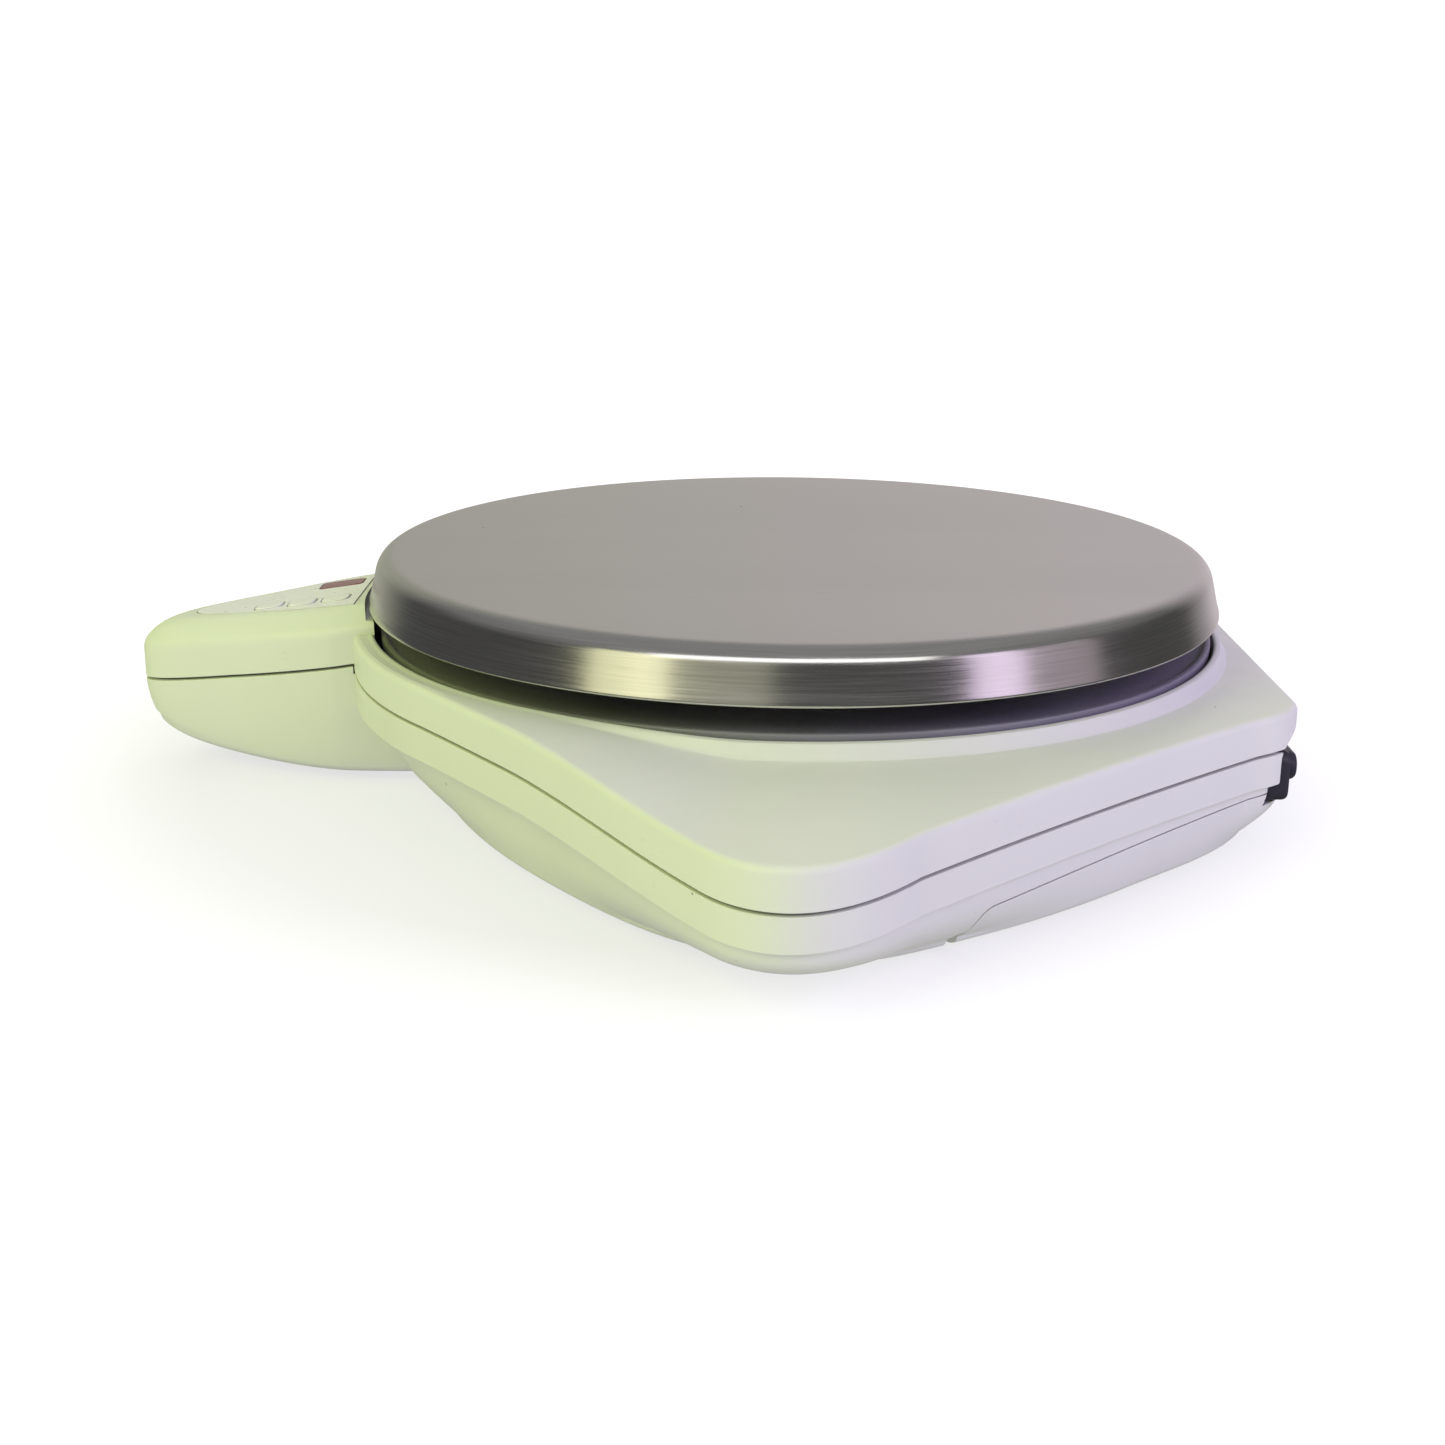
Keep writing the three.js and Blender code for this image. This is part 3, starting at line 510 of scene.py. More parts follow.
def brushed_steel():
    """Stainless sheet brushed in straight lines on top and in level lines round the skirt."""
    s = Surface("brushed_steel", 1.0, 0.3)
    up = s.nodes.new("ShaderNodeSeparateXYZ")
    normal = s.nodes.new("ShaderNodeNewGeometry").outputs["Normal"]
    s.links.new(normal, up.inputs[0])
    flat = s.ramp(up.outputs["Z"], [(0.75, 0.0), (0.97, 1.0)])
    on_top = s.noise(90, 3.0, (60, 0.5, 1))
    round_skirt = s.noise(60, 4.0, (0.8, 0.8, 55))
    lines = s.mix(flat, round_skirt, on_top)
    broad = s.noise(14, 2.0, (2.2, 0.25, 1))
    on_top_tone = s.ramp(on_top, [(0.25, (0.575, 0.572, 0.565)), (0.75, (0.62, 0.617, 0.61))])
    skirt_tone = s.ramp(round_skirt, [(0.25, (0.52, 0.51, 0.495)), (0.75, (0.66, 0.65, 0.635))])
    tone = s.mix(flat, skirt_tone, on_top_tone)
    tone = s.mix(s.ramp(broad, [(0.35, 0.0), (0.75, 0.16)]), tone, (0.78, 0.76, 0.74))
    speck = s.ramp(s.noise(360, 0.0), [(0.0, 1.0), (0.07, 1.0), (0.08, 0.0), (1.0, 0.0)])
    s.color(s.mix(speck, tone, (0.08, 0.06, 0.05)))
    top_gloss = s.ramp(on_top, [(0.2, 0.26), (0.8, 0.33)])
    s.rough(s.mix(flat, s.ramp(round_skirt, [(0.2, 0.15), (0.8, 0.25)]), top_gloss))
    s.bump(lines, 0.07, 0.00005)
    return s.material


def overlay_film():
    """Pale film with a slow drift in its colour and a finely pebbled face."""
    s = Surface("overlay_film", 0.0, 0.32)
    s.color(s.ramp(s.noise(25, 2.0), [(0.3, (0.60, 0.59, 0.62)), (0.7, (0.64, 0.63, 0.66))]))
    s.rough(s.ramp(s.noise(300, 3.0), [(0.3, 0.26), (0.7, 0.4)]))
    s.bump(s.noise(5200, 1.0), 0.08, 0.00005)
    return s.material


def circuit_board():
    """Green solder mask with a fine grid of lighter tracks."""
    s = Surface("circuit_board", 0.0, 0.3)
    tracks = s.nodes.new("ShaderNodeTexBrick")
    tracks.inputs["Scale"].default_value = 260
    tracks.inputs["Color1"].default_value = (0.03, 0.16, 0.06, 1)
    tracks.inputs["Color2"].default_value = (0.04, 0.2, 0.08, 1)
    tracks.inputs["Mortar"].default_value = (0.10, 0.32, 0.14, 1)
    s.links.new(s.where, tracks.inputs["Vector"])
    s.color(tracks.outputs["Color"])
    s.rough(s.ramp(s.noise(400, 2.0), [(0.3, 0.24), (0.7, 0.4)]))
    s.bump(tracks.outputs["Fac"], 0.2, 0.00005)
    return s.material


def cell_wrap():
    """Printed sleeve of a battery cell: dark ground with patches of a bronze print."""
    s = Surface("cell_wrap", 0.5, 0.3)
    drift = s.ramp(s.noise(60, 2.0), [(0.4, (0.035, 0.04, 0.05)), (0.6, (0.05, 0.055, 0.07))])
    bronze = s.ramp(s.noise(9, 0.0), [(0.5, 0.0), (0.52, 1.0)])
    s.color(s.mix(bronze, drift, (0.45, 0.32, 0.12)))
    s.rough(s.ramp(s.noise(700, 3.0), [(0.3, 0.24), (0.7, 0.38)]))
    s.bump(s.noise(1500, 2.0), 0.05, 0.0001)
    return s.material


MATERIALS = {
    "shell": shell_plastic(),
    "pan_steel": brushed_steel(),
    # carrier plastic: a light grey plastic, given a much darker grey that paints the shade in the space under
    # the pan
    "carrier_plastic": grained("carrier_plastic", (0.17, 0.168, 0.185), 0.42, grain=1400, depth=0.12),
    "rubber": grained("rubber", (0.025, 0.025, 0.026), 0.8, grain=2400, depth=0.3, tint=0.15),
    "plated_steel": grained("plated_steel", (0.55, 0.55, 0.52), 0.34, 1.0, grain=900, depth=0.06),
    "aluminium": grained("aluminium", (0.72, 0.73, 0.74), 0.36, 1.0, grain=700, depth=0.15,
                         stretch=(0.2, 6, 6)),
    "white_coating": grained("white_coating", (0.80, 0.78, 0.72), 0.55, grain=500, depth=0.35),
    "dark_plastic": grained("dark_plastic", (0.03, 0.03, 0.033), 0.5, grain=2000, depth=0.15, tint=0.12),
    "cover_rubber": grained("cover_rubber", (0.022, 0.021, 0.03), 0.42, grain=1900, depth=0.14, tint=0.1),
    "cell_wrap": cell_wrap(),
    "contact_metal": grained("contact_metal", (0.66, 0.65, 0.60), 0.28, 1.0, grain=1100, depth=0.08),
    "red_cable": grained("red_cable", (0.33, 0.03, 0.02), 0.42, grain=1500, depth=0.12),
    "grey_cable": grained("grey_cable", (0.36, 0.36, 0.35), 0.45, grain=1500, depth=0.12),
    "overlay_film": overlay_film(),
    "tinted_window": grained("tinted_window", (0.16, 0.03, 0.04), 0.08, grain=600, depth=0.01, spread=0.02),
    "display_glass": grained("display_glass", (0.36, 0.40, 0.31), 0.14, grain=900, depth=0.02, spread=0.04),
    "connector_strip": grained("connector_strip", (0.42, 0.26, 0.10), 0.7, grain=900, depth=0.3,
                               stretch=(8, 0.3, 0.3)),
    "circuit_board": circuit_board(),
    "black_plastic": grained("black_plastic", (0.015, 0.015, 0.016), 0.4, grain=1700, depth=0.1, tint=0.2),
    "key_plastic": grained("key_plastic", (0.61, 0.60, 0.625), 0.38, grain=2200, depth=0.12),
}


def dress(piece, slot):
    piece.data.materials.clear()
    piece.data.materials.append(MATERIALS[slot])


REPLACED = set()


def finished(piece, name, slot, body, *nodes):
    """Names a piece, gives it its material and body, and says which CAD nodes it stands for."""
    REPLACED.update(nodes)
    piece.name = name
    piece.data.name = name
    dress(piece, slot)
    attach(piece, body)
    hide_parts(*nodes)
    return piece


# ---- top housing --------------------------------------------------------------------------------
def top_wall():
    collar = circle(RIM_R + 3.1)
    width = np.hypot(*(BODY - collar).T)[:, None]
    drop = high(RIM, -0.25) - high(FOOT)

    def from_edge(distance, most):
        return BODY + (collar - BODY) * np.minimum(distance / width, most)

    def from_collar(distance, most):
        return collar + (BODY - collar) * np.minimum(distance / width, most)

    rings = [
        lift(circle(WELL_OPENING_R), WELL_FLOOR),
        lift(circle(97.0), WELL_FLOOR),
        lift(circle(97.8), WELL_FLOOR + 0.25),
        lift(circle(98.2), WELL_FLOOR + 0.9),
        lift(circle(RIM_R - 0.05), high(RIM, -0.55)),
        lift(circle(RIM_R + 0.1), high(RIM, -0.2)),
        lift(circle(RIM_R + 0.35), high(RIM, -0.04)),
        lift(circle(RIM_R + 0.6), high(RIM)),
        lift(circle(RIM_R + 1.0), high(RIM, -0.06)),
        lift(circle(RIM_R + 1.5), high(RIM, -0.25)),
        lift(circle(RIM_R + 1.95), high(RIM, -0.25) - 0.32 * drop),
        lift(circle(RIM_R + 2.4), high(RIM, -0.25) - 0.63 * drop),
        lift(circle(RIM_R + 2.75), high(RIM, -0.25) - 0.83 * drop),
        lift(circle(RIM_R + 3.1), high(RIM, -0.25) - 0.95 * drop),
        lift(from_collar(0.8, 0.1), high(FOOT)),
        lift(from_collar(2.0, 0.14), between(high(FOOT), high(CREASE), 0.03)),
        lift(from_edge(1.9, 0.8), high(CREASE, 0.02)),
        lift(from_edge(1.2, 0.55), high(CREASE, -0.03)),
        lift(from_edge(0.65, 0.33), high(CREASE, -0.2)),
        lift(from_edge(0.28, 0.16), high(CREASE, -0.5)),
        lift(from_edge(0.06, 0.04), high(CREASE, -0.95)),
        lift(BODY, high(CREASE, -1.5)),
        lift(BODY, high(SEAM, GAP + 0.28)),
        lift(inset(BODY, 0.08), high(SEAM, GAP + 0.08)),
        lift(inset(BODY, 0.28), high(SEAM, GAP)),
        lift(inset(BODY, WALL), high(SEAM, GAP)),
        lift(inset(BODY, WALL), high(CREASE, -0.6 - WALL)),
        lift(circle(RIM_R + 2.2), high(FOOT, -0.6 - WALL)),
        lift(circle(RIM_R + 0.9), WELL_FLOOR - 2),
        lift(circle(WELL_OPENING_R), WELL_FLOOR - 2),
    ]
    return skin("top_wall", rings, loop=True)


def tongue_ring(distance, z, root_shift=0.0, nose=None):
    ring = drawn_in(distance, root_shift, nose)
    return lift(ring, z(ring[:, 1]))


def console_top():
    def rise(share):
        return lambda y: between(crease_z(y), face_z(y), share)

    body = skin("console_top", [
        console_middle(seam_z, GAP),
        tongue_ring(0.28, lambda y: seam_z(y) + GAP),
        tongue_ring(0.08, lambda y: seam_z(y) + GAP + 0.08),
        tongue_ring(0.0, lambda y: seam_z(y) + GAP + 0.28),
        tongue_ring(0.0, lambda y: crease_z(y) - 2.0),
        tongue_ring(0.08, lambda y: crease_z(y) - 1.0),
        tongue_ring(0.35, lambda y: crease_z(y) - 0.3),
        tongue_ring(0.8, rise(0.07), 0, 0.6),
        tongue_ring(1.6, rise(0.22), 0, 1.2),
        tongue_ring(3.3, rise(0.52), 0, 2.9),
        tongue_ring(4.9, rise(0.76), 0, 5.1),
        tongue_ring(5.8, rise(0.9), 0, 7.1),
        tongue_ring(6.5, rise(0.97), 0, 8.7),
        tongue_ring(7.2, rise(0.995), 0, 10.2),
        tongue_ring(7.8, rise(1.0), 0, 11.4),
        console_middle(face_z),
    ])
    well = [(0, WELL_FLOOR - 1), (RIM_R - 0.6, WELL_FLOOR - 1), (RIM_R - 0.1, RIM[1]), (RIM_R - 0.1, NOTCH_Z)]
    room_for_pan = [(NOTCH_R, NOTCH_Z), (NOTCH_R, ABOVE_ALL), (0, ABOVE_ALL)]
    return cut(body, turned("around_pan", well + room_for_pan, 256))


def console_top_hollow():
    shift = -5.3
    room = skin("room", [
        console_middle(seam_z, -1),
        tongue_ring(WALL, lambda y: seam_z(y) - 1, shift),
        tongue_ring(WALL, lambda y: crease_z(y) - 1.8, shift),
        tongue_ring(BEVEL + 1.3, lambda y: face_z(y) - WALL, shift, NOSE + 3.5),
        console_middle(face_z, -WALL),
    ])
    return cut(room, post(0, 0, RIM[1] - WALL, ABOVE_ALL, RING_R - 1, 256))


def socket_arch():
    turn = np.linspace(0, math.pi, 33)
    arc = np.column_stack([SOCKET_X + ARCH_HALF * np.cos(turn), ARCH_SPRING + ARCH_RISE * np.sin(turn)])
    outline = np.vstack([[(SOCKET_X - ARCH_HALF, ARCH_LOW), (SOCKET_X + ARCH_HALF, ARCH_LOW)], arc])
    return prism("arch", outline, 92, 125, "y")


def opening(shape, low, radius):
    """Hole in the console's face for the window or a key."""
    x, y, width, depth = shape
    slack = OPENING_SLACK
    outline = rounded_rect(x, y, width + slack, depth + slack, radius + slack / 2)
    return on_face(prism("opening", outline, low, 2))


def film(slack, low, top):
    """The printed film, or the shallow pocket that takes it when there is slack."""
    outline = drawn_in(BEVEL + 0.8 - slack, -5.9 + slack, 13.5 - slack)
    along = (outline[:, 1] - FACE_Y) / math.cos(SLOPE)
    return on_face(prism("film", np.column_stack([outline[:, 0], along]), low, top))


def build_top_housing():
    shell = add(top_wall(), console_top())
    shell = add(shell, *[post(x, y, BOSS_LOW, WELL_FLOOR - 1, BOSS_R) for x, y in SCREWS])
    shell = cut(shell, *[post(x, y, PILLAR_TOP, 21, SCREW_BORE, 24) for x, y in SCREWS])
    shell = cut(shell, console_top_hollow(), socket_arch())
    shell = add(shell, *[on_face(post(BOARD_X, y, -6.1, -2, 2.1, 24)) for y in BOARD_SCREWS])
    shell = cut(shell, *[on_face(post(BOARD_X, y, -6.5, -3.4, BOARD_SCREW_BORE, 24)) for y in BOARD_SCREWS])
    shell = cut(shell, film(0.3, -0.5, 2))
    shell = cut(shell, opening(WINDOW, -4, WINDOW_CORNER))
    shell = cut(shell, *[opening(key, -4, KEY_CORNER) for key in KEYS.values()])
    return smooth_shaded(shell)


# ---- bottom housing and battery door ------------------------------------------------------------
def bowl():
    under_band = between(inset(BODY, 1.6), inset(BODY, 5.5), FRONTNESS[:, None])
    rings = [
        middle(0, 0, HULL_Z),
        lift(HULL * 0.5, HULL_Z),
        lift(inset(HULL, 2.6), HULL_Z),
        lift(inset(HULL, 1.5), HULL_Z + 0.1),
        lift(inset(HULL, 0.7), HULL_Z + 0.4),
        lift(inset(HULL, 0.2), HULL_Z + 0.95),
        lift(HULL, HULL_Z + 1.7),
    ]
    low, top = HULL_Z + 1.7, high(BAND, -0.3)
    for s in np.linspace(0.12, 1, 9):
        t = 1 - (1 - s) ** 2.4
        rings.append(lift(between(HULL, under_band, t), low + (top - low) * s))
    rings += [
        lift(inset(BODY, 1.0), high(BAND, -0.12)),
        lift(inset(BODY, 0.3), high(BAND, -0.03)),
        lift(inset(BODY, 0.08), high(BAND, 0.12)),
        lift(BODY, high(BAND, 0.4)),
        lift(BODY, high(SEAM, -GAP - 0.28)),
        lift(inset(BODY, 0.08), high(SEAM, -GAP - 0.08)),
        lift(inset(BODY, 0.28), high(SEAM, -GAP)),
        lift(inset(BODY, WALL), high(SEAM, -GAP)),
        lift(inset(under_band, WALL), high(BAND, -0.8)),
        lift(inset(between(HULL, under_band, 0.75), WALL), high(BAND, -6)),
        lift(inset(HULL, 3.4), HULL_FLOOR),
        middle(0, 0, HULL_FLOOR),
    ]
    return skin("bowl", rings)


def keel():
    reach = 8.1

    def ring(distance, z):
        return tongue_ring(distance, z, reach, min(distance, 1.6 + 0.32 * distance))

    shape = skin("keel", [
        console_middle(keel_z),
        ring(21, keel_z),
        ring(14, keel_z),
        ring(8, keel_z),
        ring(5.6, lambda y: keel_z(y) + 0.06),
        ring(4.3, lambda y: keel_z(y) + 0.4),
        ring(3.2, lambda y: keel_z(y) + 1.1),
        ring(2.3, lambda y: keel_z(y) + 2.2),
        ring(1.5, lambda y: between(keel_z(y), seam_z(y), 0.22)),
        ring(0.8, lambda y: between(keel_z(y), seam_z(y), 0.42)),
        ring(0.3, lambda y: between(keel_z(y), seam_z(y), 0.66)),
        ring(0.0, lambda y: seam_z(y) - GAP - 0.3),
        ring(0.08, lambda y: seam_z(y) - GAP - 0.08),
        ring(0.28, lambda y: seam_z(y) - GAP),
        console_middle(seam_z, -GAP),
    ])
    return cut(shape, post(0, 0, SEAM[1] - GAP, ABOVE_ALL, RING_R + GAP, 256))


def keel_hollow():
    reach = 14.1
    return skin("keel_room", [
        console_middle(keel_z, WALL),
        tongue_ring(6.8, lambda y: keel_z(y) + WALL, reach, 6),
        tongue_ring(3, lambda y: between(keel_z(y), seam_z(y), 0.5), reach),
        tongue_ring(WALL, lambda y: seam_z(y) + 1, reach),
        console_middle(seam_z, 1),
    ])


def door_blank(slack):
    start, end = DOOR_FROM + slack, DOOR_TO - slack
    low, top = DOOR_TOP[0] - slack, DOOR_TOP[1] - slack
    far = bezier([(end, top - 2), (end, top), (end - 2, top)], 8)
    near = bezier([(start + 4, low + 0.2), (start, low), (start, low - 4)], 10)
    outline = np.vstack([[(start, -15), (end, -15)], far, near])
    return spun(prism("blank", outline, DOOR_INNER + slack, 150, "x"), BAY_ANGLE)


def finger_notch():
    return spun(block((100, DOOR_FROM - 2.2, 0), (130, DOOR_FROM + 1, 5)), BAY_ANGLE)


def build_bottom_housing():
    shell = add(bowl(), keel(), *[post(x, y, HULL_FLOOR - 1, PILLAR_TOP, PILLAR_R) for x, y in SCREWS])
    under_well = post(0, 0, WELL_FLOOR - 2 - GAP, ABOVE_ALL, RIM_R + 1.3, 256)
    shell = cut(shell, keel_hollow(), under_well)
    shell = cut(shell, *[post(x, y, 1, 8, HEAD_ROOM_R) for x, y in SCREWS])
    shell = cut(shell, *[post(x, y, 7, PILLAR_TOP + 1, SCREW_BORE, 24) for x, y in SCREWS])
    shell = cut(shell, *[post(x, y, 1, 2.5, FOOT_RECESS_R, 72) for x, y in FEET])
    shell = cut(shell, *[post(x, y, 2.4, 5, PLATE_SCREW_BORE, 24) for x, y in PLATE_SCREWS])
    shell = cut(shell, socket_arch(), door_blank(0), finger_notch())
    return smooth_shaded(shell)


def build_door():
    return smooth_shaded(cut(combine(bowl(), "INTERSECT", door_blank(GAP)), socket_arch()))


# ---- pan, carrier, feet -------------------------------------------------------------------------
def arc_points(centre, radius, start, end, steps):
    turn = np.radians(np.linspace(start, end, steps + 1))
    return [(centre[0] + radius * math.cos(t), centre[1] + radius * math.sin(t)) for t in turn]


def build_pan():
    """Flat top, rounded shoulder, flared skirt and a rolled lip, one sheet thick."""
    top = [(0, 53.6), (60, 53.6), (92.9, 53.6)] + arc_points((93.6, 49.0), 4.6, 84, 12, 12)
    skirt = [(98.28, 49.2), (98.52, 48.2), (98.8, 47.0), (99.1, 45.7)]
    skirt += [(99.42, 44.5), (99.7, 43.5), (99.93, 42.8)]
    lip = [(99.99, 42.45), (99.93, 42.15), (99.75, 42.02), (99.5, 42.0), (99.25, 42.1), (99.08, 42.35)]
    inner_skirt = [(98.7, 43.8), (98.2, 45.7), (97.7, 47.8), (97.4, 49.4)]
    inner_top = [(96.7, 51.0), (95.4, 52.1), (93.4, 52.6), (0, 52.6)]
    profile = top + skirt + lip + inner_skirt + inner_top
    return smooth_shaded(turned("pan_body", profile, 288), 50, weighted=False)


def build_carrier():
    """Shallow dish with a raised rim, crossed ribs, a hub and four stems for the pads."""
    under = [(0, 32.8), (96.0, 32.8), (97.2, 33.0), (97.8, 33.5), (98.0, 34.2)]
    rim = [(98.0, 35.8), (97.85, 36.15), (97.4, 36.32), (96.9, 36.25), (96.4, 35.8), (96.0, 35.45)]
    disc = turned("disc", under + rim + [(95.4, 35.3), (0, 35.3)], 256)
    disc.data.transform(Matrix.Translation((0, CARRIER_SHIFT * MM, 0)))
    tops = [(x * STEM_AT, y * STEM_AT) for x, y in ((1, 1), (-1, 1), (-1, -1), (1, -1))]
    ribs = [spun(block((-66, -1.4, 33), (66, 1.4, 45)), math.radians(a)) for a in (45, -45)]
    hub = turned("hub", [(0, 33), (9, 33), (9, 45.5), (8.5, 46), (0, 46)], 64)
    stems = [turned("stem", [(0, 33), (6.5, 33), (6.5, 49.4), (6.1, 49.8), (0, 49.8)], 48, at) for at in tops]
    shape = add(disc, block((11, -10, 24.3), (35, 10, 34)), hub, *ribs, *stems)
    shape = cut(shape, *[post(x, 0, 31, 47, 3.5, 32) for x in CARRIER_SCREWS])
    return smooth_shaded(cut(shape, *[post(x, 0, 24, 32, 1.9, 24) for x in CARRIER_SCREWS]))


def build_pad(at):
    profile = [(0, 50.1), (5.3, 50.1), (5.6, 50.4), (5.6, 51.9), (5.4, 52.2), (5.0, 52.3), (0, 52.3)]
    return smooth_shaded(turned("pad", profile, 48, at), 50)


def build_foot(x, y):
    sole = [(0, 0.25), (3, 0.25), (3.3, 0.0), (7.2, 0.0)]
    side = [(7.8, 0.12), (8.3, 0.5), (8.7, 1.1), (8.88, 1.8), (8.9, 2.2), (0, 2.2)]
    return smooth_shaded(turned("foot", sole + side, 72, (x, y)), 50)


# ---- console fittings and rear cover ------------------------------------------------------------
def soft_plate(shape, radius, low, top, edge):
    """Rounded-rectangle plate on the console's face with an eased top edge."""
    x, y, width, depth = shape
    rings = [middle(x, y, low), lift(rounded_rect(x, y, width, depth, radius), low)]
    for t in np.linspace(0, math.pi / 2, 5):
        inward = edge * (1 - math.cos(t))
        outline = rounded_rect(x, y, width - 2 * inward, depth - 2 * inward, max(0.3, radius - inward))
        rings.append(lift(outline, top - edge + edge * math.sin(t)))
    rings.append(middle(x, y, top))
    return on_face(skin("plate", rings))


def build_overlay():
    sheet = cut(film(0, -0.2, 0.15), opening(WINDOW, -1, WINDOW_CORNER))
    return smooth_shaded(cut(sheet, *[opening(key, -1, KEY_CORNER) for key in KEYS.values()]))


def eased_block(name, z, layers):
    """Block on the flat end through rounded rectangles, each (width, height, corner, y)."""
    rings = [middle(SOCKET_X, layers[0][3], z)]
    for width, height, corner, y in layers:
        outline = rounded_rect(SOCKET_X, z, width, height, corner)
        rings.append(np.column_stack([outline[:, 0], np.full(len(outline), y), outline[:, 1]]))
    rings.append(middle(SOCKET_X, layers[-1][3], z))
    return skin(name, rings)


def build_socket_cover():
    plate = eased_block("cover", COVER_Z, [
        (18.4, 10.4, 2.2, 99.9),
        (19, 11, 2.4, 100.3),
        (19, 11, 2.4, 103.8),
        (18.8, 10.8, 2.35, 104.4),
        (18.2, 10.2, 2.1, 104.85),
        (17.4, 9.4, 1.8, 105),
    ])
    grip = eased_block("grip", GRIP_Z, [
        (12, 6.4, 3, 104.3),
        (12, 6.4, 3, 106.2),
        (11.6, 6.0, 2.8, 106.9),
        (10.8, 5.2, 2.4, 107.35),
        (9.6, 4.0, 1.9, 107.5),
    ])
    return smooth_shaded(add(plate, grip))


def build_dc_socket():
    case = block((SOCKET_X - 7, 94.6, 11.5), (SOCKET_X + 7, 99.4, 21))
    ease = case.modifiers.new("ease", "BEVEL")
    ease.width = 0.4 * MM
    ease.segments = 3
    settle(case)
    turn = np.arange(64) / 64 * 2 * math.pi
    bore = np.column_stack([SOCKET_X + SOCKET_BORE * np.cos(turn), SOCKET_Z + SOCKET_BORE * np.sin(turn)])
    return smooth_shaded(cut(case, prism("bore", bore, 95.3, 103.3, "y")))


# ---- the scale ----------------------------------------------------------------------------------
finished(build_pan(), "pan_body", "pan_steel", "pan", "pan")
finished(build_carrier(), "carrier_body", "carrier_plastic", "carrier", "pan_carrier")
finished(build_top_housing(), "housing_top", "shell", "housing", "top_housing")
finished(build_bottom_housing(), "housing_bottom", "shell", "housing", "bottom_housing")
finished(build_door(), "door_panel", "shell", "battery_door", "battery_door")
for number in range(1, 5):
    low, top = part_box(f"pan_pad_{number}")
    spot = ((low.x + top.x) / 2 / MM, ((low.y + top.y) / 2 - PAN_Y) / MM)
    finished(build_pad(spot), f"pad_{number}", "rubber", "carrier", f"pan_pad_{number}")
    finished(build_foot(*FEET[number - 1]), f"rubber_foot_{number}", "rubber", "housing", f"foot_{number}")
finished(build_overlay(), "overlay_sheet", "overlay_film", "housing", "keypad_overlay")
window = smooth_shaded(soft_plate(WINDOW, WINDOW_CORNER, -1.8, 0.2, 0.2), 50)
finished(window, "window_lens", "tinted_window", "housing", "display_window")
for key, shape in KEYS.items():
    cap = smooth_shaded(soft_plate(shape, KEY_CORNER, -2.6, 0.45, 0.35), 50)
    finished(cap, f"{key}_cap", "key_plastic", key, key)
finished(build_socket_cover(), "cover_body", "cover_rubber", "socket_cover", "socket_cover")
finished(build_dc_socket(), "socket_case", "dark_plastic", "housing", "dc_socket")

SLOT_OF = {part["node"]: part["material_slot"] for part in frame["record"]["subparts"]}
for name, node in NODES.items():
    if name not in REPLACED:
        dress(node, SLOT_OF[name])


# ---- floor, light and camera --------------------------------------------------------------------
def sweep():
    """Plain round floor that turns up into a low wall. It glows a little, and less close to the scale, which
    paints a soft shadow there that the lights do not cast. The steel mirrors the room, not the floor."""
    radius, bend, wall_top = 3000, 300, 560
    profile = [(0, 0), (500, 0), (1200, 0), (radius, 0)]
    profile += [(radius + bend * math.sin(t), bend - bend * math.cos(t)) for t in np.linspace(0.1, 1.45, 10)]
    floor = turned("floor", profile + [(radius + bend, wall_top)], 96)
    smooth_shaded(floor, 60, weighted=False)
    s = Surface("floor_paper", 0.0, 0.9)
    s.color(s.ramp(s.noise(2.0), [(0.3, (0.215, 0.21, 0.225)), (0.7, (0.225, 0.22, 0.235))]))
    s.shader.inputs["Specular IOR Level"].default_value = 0.0
    s.shader.inputs["Emission Color"].default_value = (1, 1, 1, 1)
    reach = s.nodes.new("ShaderNodeVectorMath")
    reach.operation = "LENGTH"
    s.links.new(s.where, reach.inputs[0])
    ramp_per_metre, full_glow = 0.3, 1.02
    distance = s.maths("MULTIPLY", reach.outputs["Value"], ramp_per_metre)
    # painted shadow: the floor's glow is dimmed within about 0.2 m of the scale
    glow = s.ramp(distance, [(0.036, 0.64), (0.055, 0.9), (0.15, 0.91), (0.5, 1.0)])
    s.links.new(s.maths("MULTIPLY", glow, full_glow), s.shader.inputs["Emission Strength"])
    floor.data.materials.append(s.material)
    floor.visible_glossy = False


def softbox(name, azimuth, elevation, distance, size, power, color, mirrored_in_steel=True):
    """Area light; azimuth 0 is +X, towards the camera, and turns towards +Y."""
    aim = (0, 0, 0.03)
    a, e = math.radians(azimuth), math.radians(elevation)
    light = bpy.data.lights.new(name, "AREA")
    light.shape = "RECTANGLE"
    light.size, light.size_y = size
    light.energy = power
    light.color = color
    lamp = bpy.data.objects.new(name, light)
    toward = Vector((math.cos(e) * math.cos(a), math.cos(e) * math.sin(a), math.sin(e)))
    lamp.location = Vector(aim) + distance * toward
    lamp.visible_glossy = mirrored_in_steel
    lamp.rotation_euler = (Vector(aim) - lamp.location).to_track_quat("-Z", "Y").to_euler()
    bpy.context.scene.collection.objects.link(lamp)


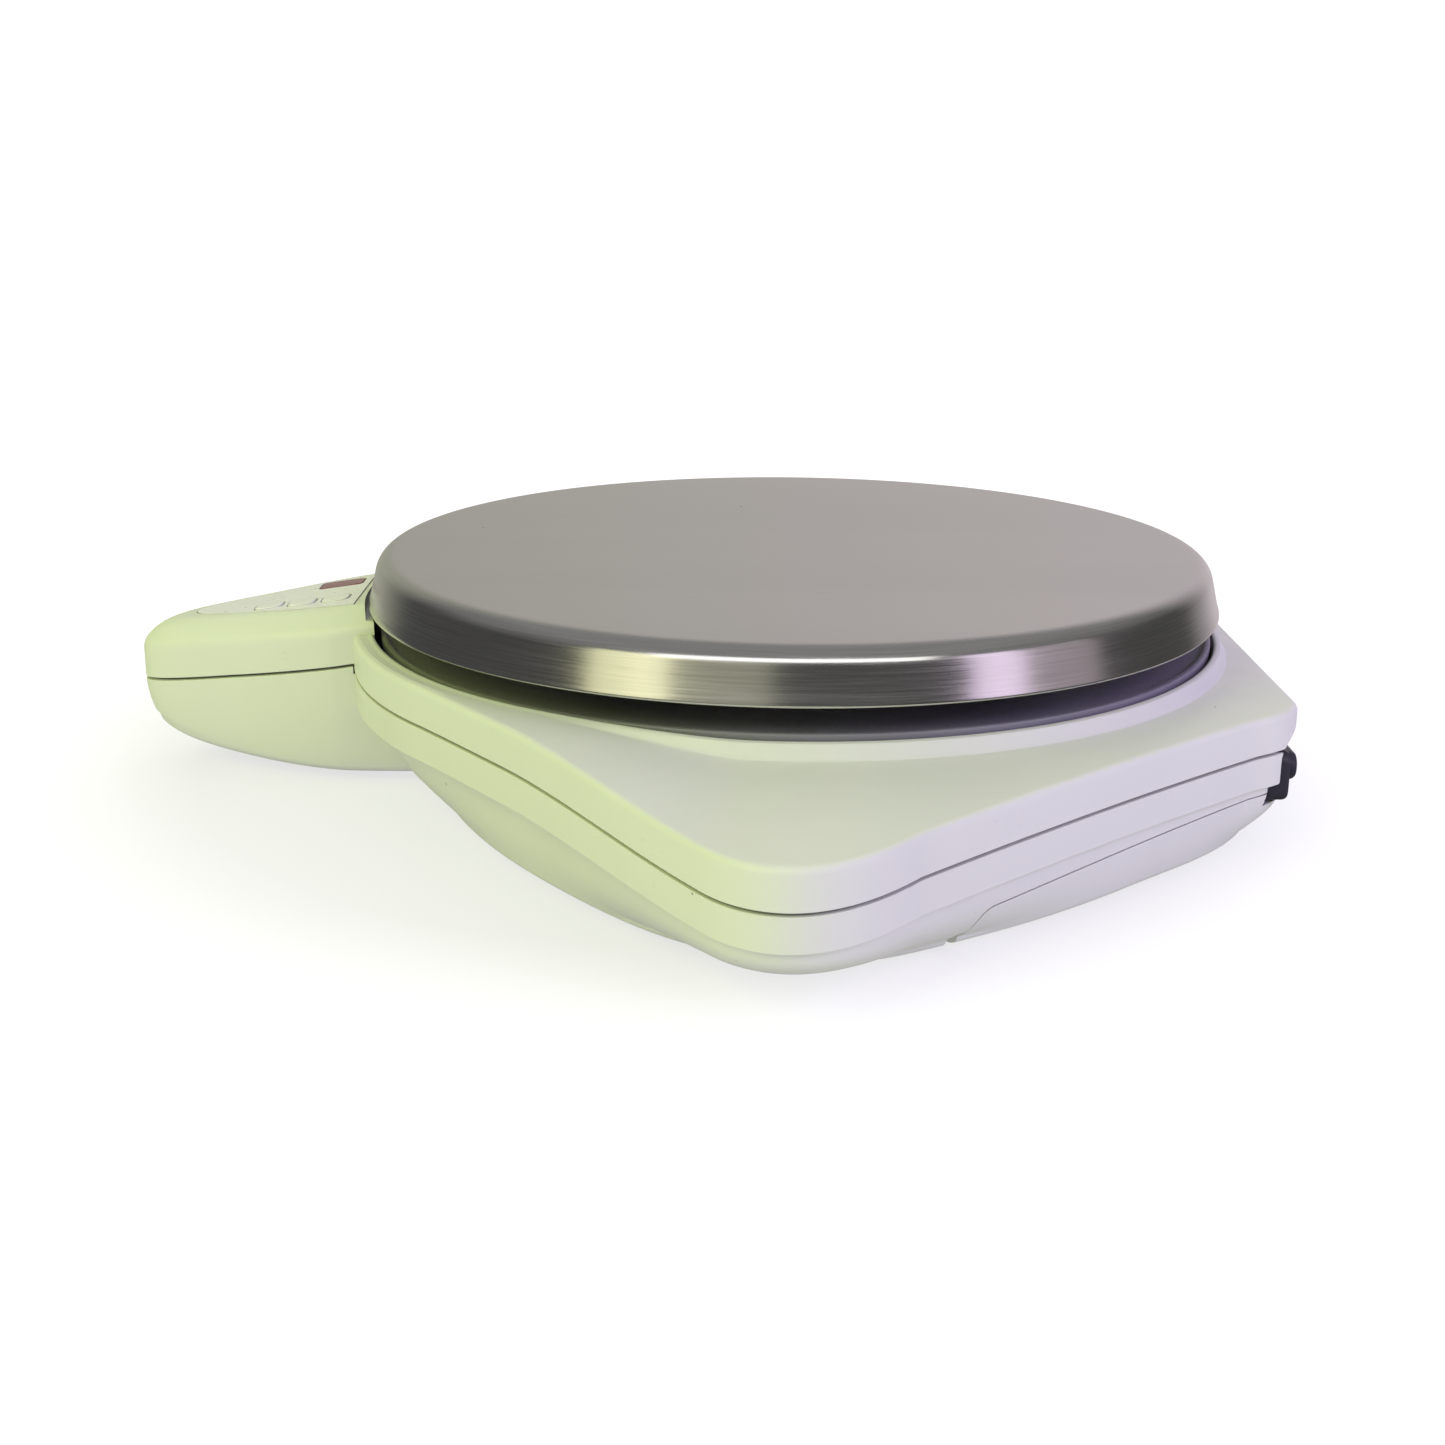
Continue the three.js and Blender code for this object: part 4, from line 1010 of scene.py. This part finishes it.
def surroundings():
    """Dim walls, a lighter ceiling and, behind the scale, a pale tinted wall that the pan's top mirrors."""
    world = bpy.data.worlds.new("room")
    bpy.context.scene.world = world
    world.use_nodes = True
    tree = world.node_tree
    nodes, links = tree.nodes, tree.links
    where = nodes.new("ShaderNodeTexCoord").outputs["Generated"]
    split = nodes.new("ShaderNodeSeparateXYZ")
    links.new(where, split.inputs[0])
    ceiling = color_ramp(tree, split.outputs["Z"], [(0.25, 0.08), (0.8, 0.30)])
    flip = nodes.new("ShaderNodeMath")
    flip.operation = "MULTIPLY"
    flip.inputs[1].default_value = -1
    links.new(split.outputs["X"], flip.inputs[0])
    behind = color_ramp(tree, flip.outputs[0], [(0.55, 0.0), (0.85, 1.0)])
    mix = nodes.new("ShaderNodeMix")
    mix.data_type = "RGBA"
    links.new(behind, mix.inputs["Factor"])
    links.new(ceiling, mix.inputs["A"])
    sideways = nodes.new("ShaderNodeMath")
    sideways.operation = "ADD"
    sideways.inputs[1].default_value = 0.5
    links.new(split.outputs["Y"], sideways.inputs[0])
    tints = [(0.15, (0.44, 0.445, 0.36)), (0.85, (0.70, 0.63, 0.66))]
    end_wall = color_ramp(tree, sideways.outputs[0], tints)
    links.new(end_wall, mix.inputs["B"])
    background = nodes["Background"]
    links.new(mix.outputs["Result"], background.inputs["Color"])
    background.inputs["Strength"].default_value = 1.0


def camera():
    """From the user's side and a little above. The place is in metres from the pan's centre."""
    x, y, z = 0.4690, -0.0163, 0.1502
    pitch, roll = 0.29216, 0.006475
    lens = bpy.data.cameras.new("camera")
    lens.lens = 49.83
    lens.sensor_width = 36
    eye = bpy.data.objects.new("camera", lens)
    back = Vector((math.cos(pitch), 0, math.sin(pitch)))
    level = Vector((0, 1, 0))
    up = back.cross(level)
    right = level * math.cos(roll) + up * math.sin(roll)
    up = back.cross(right)
    turn = Matrix((right, up, back)).transposed().to_4x4()
    eye.matrix_world = Matrix.Translation((x, PAN_Y + y, z)) @ turn
    bpy.context.scene.collection.objects.link(eye)
    bpy.context.scene.camera = eye


sweep()
surroundings()
softbox("left_key", -54, 34, 0.9, (0.9, 0.6), 5.2, (0.78, 1.0, 0.12), False)
softbox("right_key", 60, 26, 0.9, (0.8, 0.5), 5.6, (0.58, 0.43, 1.0), False)
softbox("left_band", -40, 12, 0.8, (0.3, 0.45), 0.5, (1.0, 1.0, 0.6))
softbox("left_glow", -22, 10, 0.8, (0.5, 0.45), 0.22, (1.0, 1.0, 0.72))
softbox("right_band", 50, 12, 0.8, (0.2, 0.45), 0.4, (0.92, 0.76, 1.0))
softbox("right_glow", 68, 10, 0.8, (0.3, 0.45), 0.15, (1.0, 0.84, 0.95))
softbox("front_fill", 0, 34, 0.9, (1.1, 0.25), 1.6, (1.0, 1.0, 0.98))
softbox("back_top", 180, 66, 1.1, (1.5, 1.5), 7.4, (1.0, 1.0, 0.96), False)
camera()
bpy.context.scene.view_settings.view_transform = "Standard"
bpy.context.scene.view_settings.look = "None"
